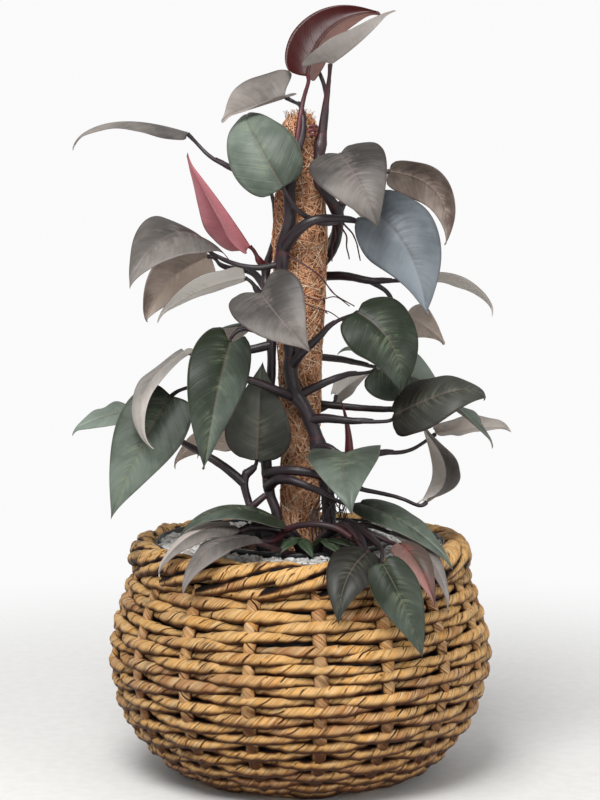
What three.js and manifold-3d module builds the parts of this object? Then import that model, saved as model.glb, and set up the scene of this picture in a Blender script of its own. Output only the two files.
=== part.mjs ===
// A climbing red philodendron on a coir pole, in a black culture pot bedded in pumice in a lined rope basket.
// Millimetres, +Z up. The origin is on the basket's axis, at the floor. The front of the plant faces -Y.
import * as THREE from "three";
import { mergeVertices } from "three/addons/utils/BufferGeometryUtils.js";
import Module from "manifold-3d";

const wasm = await Module();
wasm.setup();

// Driving dimensions
const SEAT_GAP = 0.4; // between pieces that rest on or in each other
const STAKES = 17; // upright ropes that the basket is woven round
const STAKE_TURN = 106.6; // degrees from +X to the first stake, at the back, where the courses join
const COURSES = 24; // turns of rope from the foot to the border
const ROPE_RELIEF = 9; // how far a rope in front of a stake stands out of the grooves
const ROPE_BEHIND = 0.85; // how deep a rope lies behind a stake, as a share of the relief
const BASKET_FOOT = 150; // radius of the flat bottom
const BASKET_WALL = 21; // thickness of the woven wall
const WALL_TOP = 274;
const RIM = { radius: 201, height: 289, tube: 15, columns: 51, rows: 8, groove: 3.5 };
const LINER = { wall: 1.5, neck: 184.8, top: 299 };
const POT = { bottom: 110, top: 300, foot: 97, mouth: 108, lip: 113, lipHeight: 7, wall: 2, columns: 24 };
const PUMICE_TOP = 294;
const PUMICE_RINGS = [150]; // radii of the uneven rings of its top
const SOIL_TOP = 288;
const SOIL_RINGS = [66];
const POLE = {
  core: 13,
  coreBottom: 150,
  coreTop: 828,
  sleeveBottom: 262,
  sleeveTop: 836,
  capRadius: 14,
  columns: 14,
};
const ROOT_BOTTOM = 262; // lower end of the stems, in the root ball
const BLADE_THICKNESS = 1;
const STALK_END = 2.4; // radius of a stalk at its blade
const STALK_RISE = { below: 11, behind: 4, clear: 0.65 }; // how a stalk comes up to the underside of its blade
const AERIAL_ROOT = 1.3; // radius
const STEM_SIDES = 7;
const STALK_SIDES = 4;
const FINE_SIDES = 3; // of aerial roots and of the sprout's stalks

// Where a blade's surface has its vertices: from the base (0) to the tip (1), and from edge to edge
const ALONG = [0, 0.07, 0.22, 0.42, 0.66, 0.88];
const ACROSS = [-1, -0.5, 0, 0.5, 1];

// The outer outline of the basket, over the crests of its ropes: radius and height
const BASKET_OUTLINE = new THREE.SplineCurve([
  new THREE.Vector2(BASKET_FOOT, 0),
  new THREE.Vector2(182, 20),
  new THREE.Vector2(206, 45),
  new THREE.Vector2(228, 80),
  new THREE.Vector2(241, 120),
  new THREE.Vector2(245, 155),
  new THREE.Vector2(241, 190),
  new THREE.Vector2(231, 225),
  new THREE.Vector2(219, 256),
  new THREE.Vector2(212, WALL_TOP),
]);

// The coir sleeve swells and narrows along the pole: height and radius
const SLEEVE_OUTLINE = [
  [262, 25],
  [335, 25],
  [415, 24],
  [480, 26],
  [545, 28],
  [610, 32],
  [680, 35],
  [740, 31],
  [790, 26],
  [828, 21],
];

// The blades. base: where the stalk joins. tip: the drip tip. face: the way the upper side looks.
// width: across the widest place. arch: how far the midrib bows towards the upper side. sweep: to its left.
// bend: where along the blade it bows, half-way unless given.
// fold: degrees that each half rises from the midrib. lobe: how far the lobes reach back, as a share of the
// length. shoulder: width at the base as a share of the full width. tone: the colour of the upper side.
const BLADES = {
  crown_maroon: { base: [10, 9, 886], tip: [102, 17, 966], face: [0.36, 0.67, 0.65], width: 72,
    arch: 17, sweep: 21, fold: 30, lobe: 0, shoulder: 0.58, tone: "maroon" },
  crown_grey: { base: [37, -32, 900], tip: [113, -63, 967], face: [-0.58, 0.02, 0.82], width: 86,
    arch: -4, fold: 33, lobe: 0.25, shoulder: 0.6, tone: "slate" },
  top_left_grey: { base: [-18, 10, 860], tip: [-96, -46, 833], face: [-0.31, -0.57, 0.76], width: 88,
    arch: -5, sweep: 10, bend: 0.3, fold: 28, lobe: 0.15, shoulder: 0.67, tone: "slate" },
  far_left_edge: { base: [-141, -3, 815], tip: [-289, -10, 797], face: [-0.44, -0.07, 0.9], width: 80,
    arch: 24, bend: 0.68, fold: -16, lobe: 0, tone: "slate" },
  round_green: { base: [-21, -74, 748], tip: [-63, 28, 838], face: [0.03, -1, 0], width: 89,
    arch: 38, sweep: -8, bend: 0.6, fold: -8, lobe: 0, shoulder: 0.42, tone: "green" },
  new_red: { base: [-64, 5, 672], tip: [-146, 1, 787], face: [-0.63, -0.3, -0.72], width: 92,
    sweep: 7, fold: 34, lobe: 0, tone: "red" },
  left_grey: { base: [-116, -36, 680], tip: [-211, -103, 628], face: [-0.12, -0.58, 0.81], width: 112,
    arch: 30, sweep: 11, bend: 0.3, fold: -3, lobe: 0.16, shoulder: 0.58, tone: "slate" },
  left_brown: { base: [-116, 14, 660], tip: [-196, -20, 576], face: [-0.22, 0.94, 0.26], width: 68,
    arch: 32, sweep: -5, lobe: 0, shoulder: 0.42, tone: "brown" },
  left_pale: { base: [-69, -5, 634], tip: [-184, 6, 580], face: [-0.55, 0.4, 0.73], width: 74,
    arch: 8, sweep: -5, fold: 9, lobe: 0, tone: "pale" },
  centre_heart: { base: [-48, -100, 620], tip: [12, -149, 554], face: [-0.26, -0.7, 0.66], width: 96,
    arch: 8, sweep: 4, fold: 14, lobe: 0.12, shoulder: 0.56, tone: "slate" },
  upper_heart: { base: [49, -81, 789], tip: [96, -141, 699], face: [0.05, -0.96, 0.28], width: 94,
    arch: 20, shoulder: 0.45, tone: "slate" },
  right_brown: { base: [112, -5, 768], tip: [186, -1, 673], face: [0.32, 0.85, 0.42], width: 61,
    arch: 24, sweep: 22, fold: -12, lobe: 0, tone: "brown" },
  big_blue: { base: [97, -99, 713], tip: [153, -136, 594], face: [-0.45, -0.76, 0.47], width: 101,
    arch: 12, sweep: -16, fold: -22, lobe: 0.21, shoulder: 0.44, tone: "blue" },
  right_edge: { base: [168, 6, 635], tip: [248, -2, 587], face: [0, 0.26, 0.97], width: 64,
    arch: 14, sweep: 4, fold: -5, lobe: 0.07, shoulder: 0.42, tone: "pale" },
  front_green_right: { base: [70, -101, 597], tip: [123, -114, 493], face: [0, -0.82, 0.57], width: 90,
    arch: 22, sweep: -14, fold: -5, lobe: 0.04, shoulder: 0.46, tone: "green" },
  behind_brown: { base: [130, 25, 582], tip: [183, -42, 552], face: [0.49, 0.87, -0.08], width: 48,
    arch: -9, sweep: 8, fold: 20, lobe: 0, tone: "brown" },
  behind_green: { base: [96, -22, 520], tip: [182, -26, 492], face: [0.1, -0.8, 0.55], width: 86,
    arch: 8, lobe: 0.1, tone: "green" },
  hidden_tip: { base: [130, 100, 520], tip: [48, 70, 535], face: [0, -0.3, 0.9], width: 60,
    arch: 8, lobe: 0.1, tone: "green" },
  dark_broad: { base: [117, -81, 468], tip: [233, -77, 487], face: [-0.04, -0.66, 0.75], width: 82,
    arch: 36, sweep: 9, bend: 0.86, fold: -8, lobe: 0.04, shoulder: 0.42, tone: "dark" },
  far_right_pale: { base: [173, 11, 434], tip: [271, 39, 438], face: [-0.33, 0.34, 0.88], width: 86,
    sweep: 13, fold: 5, lobe: 0, shoulder: 0.42, tone: "pale" },
  right_green_tip: { base: [195, -18, 469], tip: [243, -72, 429], face: [0.45, 0, 0.89], width: 44,
    arch: 4, sweep: 11, fold: 18, lobe: 0.07, shoulder: 0.42, tone: "green" },
  right_curled: { base: [158, -56, 356], tip: [150, -34, 451], face: [-0.87, -0.49, 0], width: 70,
    arch: -42, sweep: -13, bend: 0.3, lobe: 0, shoulder: 0.46, tone: "pale" },
  arrow_green: { base: [56, -93, 422], tip: [62, -200, 363], face: [0.03, -0.98, -0.2], width: 88,
    arch: 18, sweep: 5, fold: 4, lobe: 0.17, shoulder: 0.96, tone: "green" },
  behind_pale: { base: [46, 58, 478], tip: [98, 66, 510], face: [0, 0.5, 0.85], width: 56,
    arch: 4, lobe: 0.1, tone: "pale" },
  big_left_green: { base: [-160, -62, 490], tip: [-235, -100, 340], face: [-0.12, -0.95, 0.25], width: 88,
    arch: 8, sweep: 4, lobe: 0.02, tone: "green" },
  left_curved: { base: [-143, -59, 545], tip: [-182, -117, 427], face: [-0.79, -0.41, 0.45], width: 70,
    arch: 31, sweep: 8, bend: 0.62, lobe: 0.03, shoulder: 0.58, tone: "pale" },
  front_green_left: { base: [-86, -83, 559], tip: [-118, -110, 400], face: [0.25, -0.87, -0.43], width: 85,
    arch: 26, sweep: 14, fold: -20, lobe: 0.12, shoulder: 0.42, tone: "green" },
  up_green: { base: [-54, -52, 408], tip: [-47, -46, 532], face: [-0.1, -0.95, 0.1], width: 84,
    arch: 5, lobe: 0, shoulder: 0.3, tone: "dark" },
  far_left_green: { base: [-213, 4, 463], tip: [-291, -14, 438], face: [0, -0.4, 0.9], width: 54,
    arch: 6, lobe: 0.02, tone: "green" },
  low_brown: { base: [-86, 28, 420], tip: [-165, 22, 389], face: [-0.37, 0.53, 0.76], width: 72,
    arch: 16, fold: 4, lobe: 0.03, shoulder: 0.42, tone: "brown" },
  rim_left_green: { base: [-25, -96, 338], tip: [-150, -140, 328], face: [0, -0.15, 1], width: 74,
    arch: 24, fold: -8, lobe: 0.02, tone: "green" },
  rim_left_pale: { base: [-85, -118, 335], tip: [-175, -165, 281], face: [-0.3, -0.3, 0.9], width: 56,
    arch: 20, fold: -8, lobe: 0.04, tone: "slate" },
  rim_left_grey: { base: [-60, -140, 325], tip: [-143, -214, 266], face: [-0.35, -0.3, 0.9], width: 64,
    arch: 24, fold: -8, lobe: 0.04, tone: "slate" },
  rim_front_dark: { base: [80, -188, 314], tip: [45, -246, 238], face: [0, -0.8, 0.55], width: 62,
    arch: 12, sweep: 9, lobe: 0.04, shoulder: 0.35, tone: "dark" },
  rim_front_green: { base: [98, -218, 306], tip: [146, -240, 195], face: [-0.05, -0.9, 0.4], width: 56,
    arch: 14, sweep: -3, lobe: 0.03, shoulder: 0.4, tone: "green" },
  rim_pink: { base: [121, -164, 320], tip: [162, -218, 252], face: [0.1, -0.7, 0.65], width: 40,
    arch: 16, fold: 8, lobe: 0, tone: "pink" },
  rim_slate: { base: [120, -112, 326], tip: [180, -198, 246], face: [0.5, -0.4, 0.75], width: 42,
    arch: 18, lobe: 0.02, tone: "slate" },
  rim_right_green: { base: [74, -80, 357], tip: [188, -164, 291], face: [0.3, -0.5, 0.8], width: 58,
    arch: 14, lobe: 0, tone: "green" },
  back_crown: { base: [14, 55, 916], tip: [21, 113, 899], face: [-0.07, 0.7, 0.7], width: 60,
    arch: 10, tone: "slate" },
  back_upper_left: { base: [-46, 98, 773], tip: [-83, 176, 761], face: [-0.23, 0.7, 0.68], width: 73,
    arch: 7, tone: "slate" },
  back_upper_right: { base: [65, 91, 737], tip: [99, 153, 682], face: [0.44, 0.51, 0.56], width: 73,
    arch: 10, tone: "green" },
  back_mid_left: { base: [-68, 93, 568], tip: [-112, 158, 513], face: [-0.56, 0.65, 0.77], width: 76,
    arch: 12, tone: "green" },
  back_mid_right: { base: [15, 97, 598], tip: [-54, 164, 586], face: [0.06, 0.56, 0.64], width: 80,
    arch: 12, tone: "blue" },
  back_low_left: { base: [-67, 94, 452], tip: [-139, 142, 387], face: [-0.22, 0.8, 0.6], width: 80,
    arch: 12, tone: "green" },
  back_low_right: { base: [14, 112, 381], tip: [50, 194, 337], face: [0.15, 0.88, 0.58], width: 74,
    arch: 7, tone: "dark" },
};

// The stems. radius: at the foot and at the top. climb: height, degrees round the pole from +X and distance
// from the pole's axis, for a stem that climbs the pole. path: places for a stem that stands free. Each stalk
// starts inside the stem, with a radius of thick, and ends under its blade. roots: the places that an aerial
// root goes through.
const VINES = {
  vine_front: {
    radius: [8, 6.5],
    climb: [
      [ROOT_BOTTOM, -58, 66], [350, -50, 56], [395, -55, 50], [427, -62, 48], [452, -71, 45], [472, -82, 43],
      [491, -98, 42], [516, -106, 42], [548, -106, 42], [595, -113, 45], [645, -118, 49], [680, -114, 49],
      [705, -106, 47], [727, -106, 46], [750, -108, 44], [775, -104, 41], [796, -98, 39],
    ],
    stalks: [
      { blade: "crown_maroon", thick: 4.5, via: [[-6, -39, 788], [-2, -34, 820], [4, -22, 856]] },
      { blade: "top_left_grey", thick: 4, via: [[-6, -39, 786], [4, -34, 816], [2, -22, 846]] },
      { blade: "far_left_edge", thick: 4, via: [[-15, -41, 750], [-47, -38, 759], [-85, -24, 771],
        [-115, -8, 787]] },
      { blade: "left_grey", thick: 4.5, via: [[-21, -43, 655], [-47, -48, 648], [-80, -40, 652],
        [-104, -26, 662]] },
      { blade: "centre_heart", thick: 4, via: [[-24, -43, 633], [-33, -72, 626]] },
      { blade: "big_blue", thick: 6, via: [[-20, -45, 672], [-5, -62, 693], [14, -70, 708], [44, -66, 710],
        [80, -58, 704], [98, -74, 700]] },
      { blade: "front_green_right", thick: 5, via: [[-11, -40, 523], [0, -55, 541], [20, -68, 560],
        [44, -78, 584]] },
      { blade: "behind_green", thick: 4.5, via: [[-2, -42, 488], [25, -46, 502], [54, -40, 513]] },
      { blade: "dark_broad", thick: 5, via: [[8, -43, 457], [27, -52, 461], [62, -66, 459], [92, -76, 459]] },
      { blade: "far_right_pale", thick: 5, via: [[20, -44, 424], [48, -40, 412], [76, -24, 409],
        [103, -12, 412], [138, 2, 412]] },
      { blade: "arrow_green", thick: 4, via: [[20, -44, 422], [35, -68, 428]] },
      { blade: "big_left_green", thick: 5, via: [[-7, -41, 485], [-30, -64, 497], [-62, -74, 511],
        [-97, -72, 512], [-129, -66, 503]] },
      { blade: "front_green_left", thick: 4, via: [[-14, -40, 570], [-37, -58, 570], [-60, -68, 573],
        [-76, -66, 574]] },
    ],
    roots: [[[-20, -44, 668], [20, -56, 642], [45, -50, 615], [68, -40, 600]]],
  },
  vine_right: {
    radius: [8, 6],
    climb: [
      [ROOT_BOTTOM, 75, 52], [343, 80, 49], [409, 80, 48], [473, 80, 48], [538, 80, 48], [602, 78, 50],
      [640, 66, 53], [668, 38, 52], [698, 7, 48], [716, -12, 48], [734, -38, 46], [754, -56, 44],
      [789, -52, 39], [812, -42, 36],
    ],
    stalks: [
      { blade: "crown_grey", thick: 7.5, via: [[26, -25, 800], [30, -23, 835], [35, -24, 872]] },
      { blade: "round_green", thick: 4, via: [[46, -8, 706], [26, -48, 704], [0, -66, 716]] },
      { blade: "upper_heart", thick: 4, via: [[22, -36, 757], [35, -50, 772]] },
      { blade: "right_brown", thick: 4, via: [[45, -14, 721], [65, -8, 736], [90, -5, 758]] },
      { blade: "right_edge", thick: 5, via: [[20, 49, 632], [57, 32, 634], [92, 14, 628], [140, 4, 630]] },
      { blade: "behind_brown", thick: 3.5, via: [[88, 16, 628], [114, 24, 612]] },
      { blade: "hidden_tip", thick: 4, via: [[8, 47, 530], [56, 84, 522], [100, 106, 510]] },
      { blade: "right_green_tip", thick: 4, via: [[8, 47, 470], [74, 36, 464], [140, 4, 464]] },
      { blade: "behind_pale", thick: 4, via: [[8, 47, 452], [30, 58, 462]] },
      { blade: "back_crown", thick: 4, via: [[26, -25, 800], [38, 4, 832], [36, 44, 866],
        [24, 58, 894]] },
      { blade: "back_upper_right", thick: 4, via: [[22, 48, 642], [46, 70, 692]] },
      { blade: "back_mid_right", thick: 4, via: [[10, 49, 585], [20, 72, 588]] },
      { blade: "back_low_right", thick: 4.5, via: [[8, 47, 400], [12, 78, 400]] },
    ],
    roots: [
      [[44, -8, 715], [43, -20, 690], [40, -24, 655]],
      [[46, -8, 712], [56, -12, 690], [62, -14, 657]],
      [[46, -6, 712], [66, -8, 690], [76, -8, 655]],
    ],
  },
  vine_left: {
    radius: [7.5, 6],
    climb: [
      [ROOT_BOTTOM, -122, 46], [340, -131, 46], [361, -142, 48], [392, -147, 50], [418, -149, 50],
      [468, -150, 46], [517, -147, 43], [559, -148, 43], [599, -165, 43], [624, -195, 45], [650, -203, 47],
    ],
    stalks: [
      { blade: "new_red", thick: 4.5, via: [[-41, 18, 645], [-54, 3, 655]] },
      { blade: "left_brown", thick: 4, via: [[-42, 14, 616], [-62, 38, 640], [-98, 34, 644]] },
      { blade: "left_pale", thick: 4, via: [[-42, -6, 605], [-56, -6, 618]] },
      { blade: "left_curved", thick: 4.5, via: [[-38, -24, 550], [-69, -26, 543], [-107, -24, 545]] },
      { blade: "low_brown", thick: 4.5, via: [[-43, -26, 403], [-60, 0, 409]] },
      { blade: "right_curled", thick: 5.5, via: [[-43, -28, 388], [-17, -58, 396], [11, -64, 394],
        [47, -56, 381], [75, -48, 371], [106, -44, 364], [130, -46, 358]] },
      { blade: "rim_right_green", thick: 5.5, via: [[-40, -30, 371], [-28, -52, 384], [-6, -72, 384],
        [14, -76, 376], [46, -77, 360]] },
      { blade: "back_upper_left", thick: 4, via: [[-43, 19, 646], [-30, 50, 690], [-38, 74, 744]] },
      { blade: "back_mid_left", thick: 4, via: [[-42, -2, 600], [-58, 30, 592], [-62, 62, 584]] },
      { blade: "back_low_left", thick: 4, via: [[-41, -24, 440], [-62, 20, 442], [-66, 62, 450]] },
    ],
    roots: [],
  },
  vine_thin: {
    radius: [6, 4.5],
    path: [[-48, -62, ROOT_BOTTOM], [-50, -60, 300], [-58, -58, 338], [-65, -52, 357], [-70, -48, 378],
      [-67, -46, 393]],
    stalks: [
      { blade: "up_green", thick: 4.5, via: [[-67, -46, 390]] },
      { blade: "far_left_green", thick: 4.5, via: [[-70, -48, 378], [-93, -42, 397], [-117, -34, 411],
        [-145, -20, 424], [-184, -2, 444]] },
    ],
    roots: [],
  },
  vine_rim_right: {
    radius: [8, 5],
    path: [[22, -80, ROOT_BOTTOM], [22, -80, 303], [38, -92, 325], [60, -108, 334], [80, -126, 330]],
    stalks: [
      { blade: "rim_pink", thick: 4.5, via: [[80, -126, 330]] },
      { blade: "rim_front_dark", thick: 4.5, via: [[60, -108, 334], [70, -134, 328], [78, -160, 320]] },
      { blade: "rim_front_green", thick: 5, via: [[60, -108, 334], [80, -136, 328], [99, -176, 315]] },
      { blade: "rim_slate", thick: 4.5, via: [[60, -108, 334], [90, -106, 334]] },
    ],
    roots: [],
  },
  vine_rim_left: {
    radius: [8, 4.5],
    path: [[0, -78, ROOT_BOTTOM], [0, -78, 303], [-20, -92, 323], [-40, -100, 330], [-62, -108, 332]],
    stalks: [
      { blade: "rim_left_pale", thick: 4.5, via: [[-62, -108, 332]] },
      { blade: "rim_left_grey", thick: 4.5, via: [[-20, -92, 323], [-32, -114, 316], [-46, -130, 318]] },
      { blade: "rim_left_green", thick: 4, via: [[0, -78, 306], [-8, -90, 326]] },
    ],
    roots: [],
  },
};

// The juvenile leaves at the foot, grown together on one sprout
const SPROUT = {
  foot: [14, -94, ROOT_BOTTOM],
  head: [14, -96, 306],
  radius: 3.5,
  stalk: [1.6, 1.3],
  stalkRise: 9,
  leaves: [
    { base: [-6, -106, 318], tip: [-28, -126, 299], face: [-0.3, -0.7, 0.6], width: 17, arch: 3 },
    { base: [2, -108, 316], tip: [17, -132, 295], face: [0.2, -0.8, 0.5], width: 16, arch: 3 },
    { base: [29, -108, 317], tip: [54, -136, 297], face: [0.3, -0.7, 0.6], width: 18, arch: 4 },
    { base: [36, -110, 317], tip: [74, -134, 306], face: [0.2, -0.4, 0.9], width: 15, arch: 4 },
  ],
};

const TONES = {
  slate: 0x5d6164,
  blue: 0x59666f,
  green: 0x3c5144,
  dark: 0x2f3833,
  red: 0x8a3f45,
  maroon: 0x5a3236,
  brown: 0x6d625c,
  pale: 0x9a9088,
  pink: 0x8d6a68,
};

const rope = new THREE.MeshStandardMaterial({ color: 0xb98f52, roughness: 0.75, metalness: 0 });
const film = new THREE.MeshStandardMaterial({ color: 0x1b1d22, roughness: 0.4, metalness: 0 });
const potPlastic = new THREE.MeshStandardMaterial({ color: 0x17181a, roughness: 0.45, metalness: 0 });
const pumice = new THREE.MeshStandardMaterial({ color: 0xcfcac0, roughness: 0.95, metalness: 0 });
const peat = new THREE.MeshStandardMaterial({ color: 0x3a2c22, roughness: 1, metalness: 0 });
const coir = new THREE.MeshStandardMaterial({ color: 0x8a5a36, roughness: 1, metalness: 0 });
const pipe = new THREE.MeshStandardMaterial({ color: 0x55514c, roughness: 0.6, metalness: 0 });
const bark = new THREE.MeshStandardMaterial({ color: 0x2a1f22, roughness: 0.5, metalness: 0 });
const sproutGreen = new THREE.MeshStandardMaterial({ color: 0x34523a, roughness: 0.5, metalness: 0 });

// A repeatable random number from 0 to 1
function seededRandom(seed) {
  let state = seed;
  return () => {
    state = (state * 1664525 + 1013904223) % 4294967296;
    return state / 4294967296;
  };
}

const vec = (place) => new THREE.Vector3(...place);
const radians = THREE.MathUtils.degToRad;

function geometryOf(points, faces) {
  const geometry = new THREE.BufferGeometry();
  const places = points.flatMap((point) => point.toArray());
  geometry.setAttribute("position", new THREE.Float32BufferAttribute(places, 3));
  geometry.setIndex(faces.flat());
  return geometry;
}

// A closed mesh as a solid that can be joined and cut
function solidOf(geometry) {
  const bare = geometry.clone();
  bare.deleteAttribute("normal");
  bare.deleteAttribute("uv");
  const merged = mergeVertices(bare, 1e-4);
  return new wasm.Manifold(
    new wasm.Mesh({
      numProp: 3,
      vertProperties: merged.attributes.position.array,
      triVerts: new Uint32Array(merged.index.array),
    }),
  );
}

// The largest body of a solid, back as a geometry
function geometryFrom(solid) {
  const bodies = solid.decompose();
  const whole = bodies.reduce((best, body) => (body.volume() > best.volume() ? body : best));
  const { numProp, vertProperties, triVerts } = whole.getMesh();
  const places = [];
  for (let i = 0; i < vertProperties.length; i += numProp) {
    places.push(vertProperties[i], vertProperties[i + 1], vertProperties[i + 2]);
  }
  const geometry = new THREE.BufferGeometry();
  geometry.setAttribute("position", new THREE.Float32BufferAttribute(places, 3));
  geometry.setIndex([...triVerts]);
  return geometry;
}

// A solid of revolution about Z. The profile runs from axis to axis, or closes on itself, with the material
// on its left. place(row, column, angle) may move a point of a ring.
function turned(profile, columns, place = (row, column, angle) => profile[row]) {
  const points = [];
  const rings = profile.map(([radius], row) => {
    if (radius === 0) {
      const [, height] = place(row, 0, 0);
      points.push(new THREE.Vector3(0, 0, height));
      return [points.length - 1];
    }
    return Array.from({ length: columns }, (_, column) => {
      const angle = radians(STAKE_TURN) + (2 * Math.PI * column) / columns;
      const [r, z] = place(row, column, angle);
      points.push(new THREE.Vector3(r * Math.cos(angle), r * Math.sin(angle), z));
      return points.length - 1;
    });
  });
  const closed = rings[0].length > 1;
  const faces = [];
  for (let row = 0; row < rings.length - (closed ? 0 : 1); row += 1) {
    const below = rings[row];
    const above = rings[(row + 1) % rings.length];
    for (let column = 0; column < columns; column += 1) {
      const next = (column + 1) % columns;
      if (below.length > 1) faces.push([below[column], below[next], above[next % above.length]]);
      if (above.length > 1) faces.push([below[column % below.length], above[next], above[column]]);
    }
  }
  return geometryOf(points, faces);
}

// A tapered tube along a smooth curve, closed at both ends
function tube(places, startRadius, endRadius, sides, steps) {
  const curve = new THREE.CatmullRomCurve3(places.map(vec), false, "centripetal");
  const frames = curve.computeFrenetFrames(steps, false);
  const points = [];
  const faces = [];
  for (let step = 0; step <= steps; step += 1) {
    const centre = curve.getPointAt(step / steps);
    const radius = THREE.MathUtils.lerp(startRadius, endRadius, step / steps);
    for (let side = 0; side < sides; side += 1) {
      const angle = (2 * Math.PI * side) / sides;
      points.push(
        centre
          .clone()
          .addScaledVector(frames.normals[step], radius * Math.cos(angle))
          .addScaledVector(frames.binormals[step], radius * Math.sin(angle)),
      );
    }
  }
  const last = steps * sides;
  for (let side = 0; side < sides; side += 1) {
    const next = (side + 1) % sides;
    for (let ring = 0; ring < last; ring += sides) {
      faces.push([ring + side, ring + next, ring + sides + next]);
      faces.push([ring + side, ring + sides + next, ring + sides + side]);
    }
    if (side > 0 && side < sides - 1) {
      faces.push([0, next, side]);
      faces.push([last, last + side, last + next]);
    }
  }
  return geometryOf(points, faces);
}

// Half width of a blade, as a share of its widest place, from the base (0) to the tip (1)
function halfWidth(along, shoulder) {
  const widest = 0.27;
  if (along < widest) return shoulder + (1 - shoulder) * Math.sqrt(1 - (1 - along / widest) ** 2);
  const rest = (along - widest) / (1 - widest);
  return Math.max(0, 1 - rest ** 1.75) ** 1.25;
}

// A function that gives the place on a blade's middle surface at along (0 base, 1 tip) and across (-1 to 1)
function bladeSurface(blade) {
  const { arch = 0, sweep = 0, bend = 0.5, fold = 0, lobe = 0.1, shoulder = 0.5 } = blade;
  const base = vec(blade.base);
  const tip = vec(blade.tip);
  const chord = tip.clone().sub(base);
  const ahead = chord.clone().normalize();
  const face = vec(blade.face);
  face.addScaledVector(ahead, -face.dot(ahead)).normalize();
  const left = ahead.clone().cross(face);
  const bow = base.clone().lerp(tip, bend).addScaledVector(face, 2 * arch).addScaledVector(left, 2 * sweep);
  const midrib = new THREE.QuadraticBezierCurve3(base, bow, tip);
  const length = midrib.getLength();
  return (along, across) => {
    const spread = Math.abs(across);
    const reach = along - lobe * (1 - along) ** 3 * spread ** 2 * (3 - 2 * spread);
    const held = THREE.MathUtils.clamp(reach, 0, 1);
    const direction = midrib.getTangentAt(held);
    const side = left.clone().addScaledVector(direction, -left.dot(direction)).normalize();
    const up = side.clone().cross(direction);
    const half = (spread * halfWidth(along, shoulder) * blade.width) / 2;
    return midrib
      .getPointAt(held)
      .addScaledVector(direction, (reach - held) * length)
      .addScaledVector(side, Math.sign(across) * half * Math.cos(radians(fold)))
      .addScaledVector(up, half * Math.sin(radians(fold)));
  };
}

// The last two places of a stalk, which comes up to its blade from the underside
function stalkTop(blade) {
  const surface = bladeSurface(blade);
  const base = surface(0, 0);
  const ahead = surface(0.02, 0).sub(base).normalize();
  const aside = surface(0.02, 0.1).sub(surface(0.02, -0.1)).normalize();
  const up = aside.cross(ahead).normalize();
  const bend = base.clone().addScaledVector(up, -STALK_RISE.below).addScaledVector(ahead, -STALK_RISE.behind);
  const end = base.clone().addScaledVector(up, -(BLADE_THICKNESS / 2 + SEAT_GAP + STALK_RISE.clear));
  return [bend.toArray(), end.toArray()];
}

// A blade as a thin closed leaf: the same triangles on both sides of its middle surface, and a narrow edge
function bladeSolid(blade, stations = ALONG, lines = ACROSS) {
  const surface = bladeSurface(blade);
  const half = BLADE_THICKNESS / 2;
  const nudge = 0.01;
  const rows = stations.length;
  const columns = lines.length;
  const upper = [];
  const lower = [];
  const lift = (place, up) => {
    upper.push(place.clone().addScaledVector(up, half));
    lower.push(place.clone().addScaledVector(up, -half));
  };
  stations.forEach((along) => lines.forEach((across) => {
    const place = surface(along, across);
    const ahead = surface(along + nudge, across).sub(place);
    const leftOf = surface(along, Math.min(across + nudge, 1));
    const aside = leftOf.sub(surface(along, Math.max(across - nudge, -1)));
    lift(place, aside.cross(ahead).normalize());
  }));
  const beforeTip = rows * columns - (columns + 1) / 2;
  lift(surface(1, 0), upper[beforeTip].clone().sub(lower[beforeTip]).normalize());
  const count = upper.length;
  const tip = count - 1;
  const triangles = [];
  for (let row = 0; row < rows - 1; row += 1) {
    for (let column = 0; column < columns - 1; column += 1) {
      const a = row * columns + column;
      const b = a + 1;
      const c = a + columns;
      const d = c + 1;
      if (column < columns / 2 - 1) triangles.push([a, b, c], [b, d, c]);
      else triangles.push([a, b, d], [a, d, c]);
    }
  }
  const lastRow = (rows - 1) * columns;
  for (let column = 0; column < columns - 1; column += 1) {
    triangles.push([lastRow + column, lastRow + column + 1, tip]);
  }
  const border = [];
  for (let column = 0; column < columns; column += 1) border.push(column);
  for (let row = 1; row < rows; row += 1) border.push(row * columns + columns - 1);
  border.push(tip);
  for (let row = rows - 1; row > 0; row -= 1) border.push(row * columns);
  const faces = triangles.flatMap(([a, b, c]) => [[a, b, c], [a + count, c + count, b + count]]);
  border.forEach((from, i) => {
    const to = border[(i + 1) % border.length];
    faces.push([from, to + count, to], [from, from + count, to + count]);
  });
  return geometryOf([...upper, ...lower], faces);
}

// The basket: one wall of woven relief outside, smooth inside, and a flat foot
function basketBody() {
  const rows = 2 * COURSES;
  const outline = Array.from({ length: rows + 1 }, (_, row) => {
    const at = row / rows;
    const place = BASKET_OUTLINE.getPointAt(at);
    const direction = BASKET_OUTLINE.getTangentAt(at);
    return { r: place.x, z: place.y, outR: direction.y, outZ: -direction.x };
  });
  const inner = basketInner(0);
  const profile = [[0, 0], ...outline.map(({ r, z }) => [r, z]), ...inner];
  return turned(profile, 2 * STAKES, (row, column) => {
    const station = row - 1;
    if (station < 1 || station >= rows) return profile[row];
    const { r, z, outR, outZ } = outline[station];
    const depth = station % 2 === 0 ? 1 : ropeDepth(column, (station - 1) / 2);
    return [r - outR * depth * ROPE_RELIEF, z - outZ * depth * ROPE_RELIEF];
  });
}

// 0 where the rope of a course runs in front of a stake, more where it runs behind, halfway between stakes
function ropeDepth(column, course) {
  const behind = (stake) => ((stake + course) % 2 === 0 ? 0 : ROPE_BEHIND);
  const before = Math.floor(column / 2);
  const after = Math.ceil(column / 2) % STAKES;
  return (behind(before) + behind(after)) / 2;
}

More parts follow.
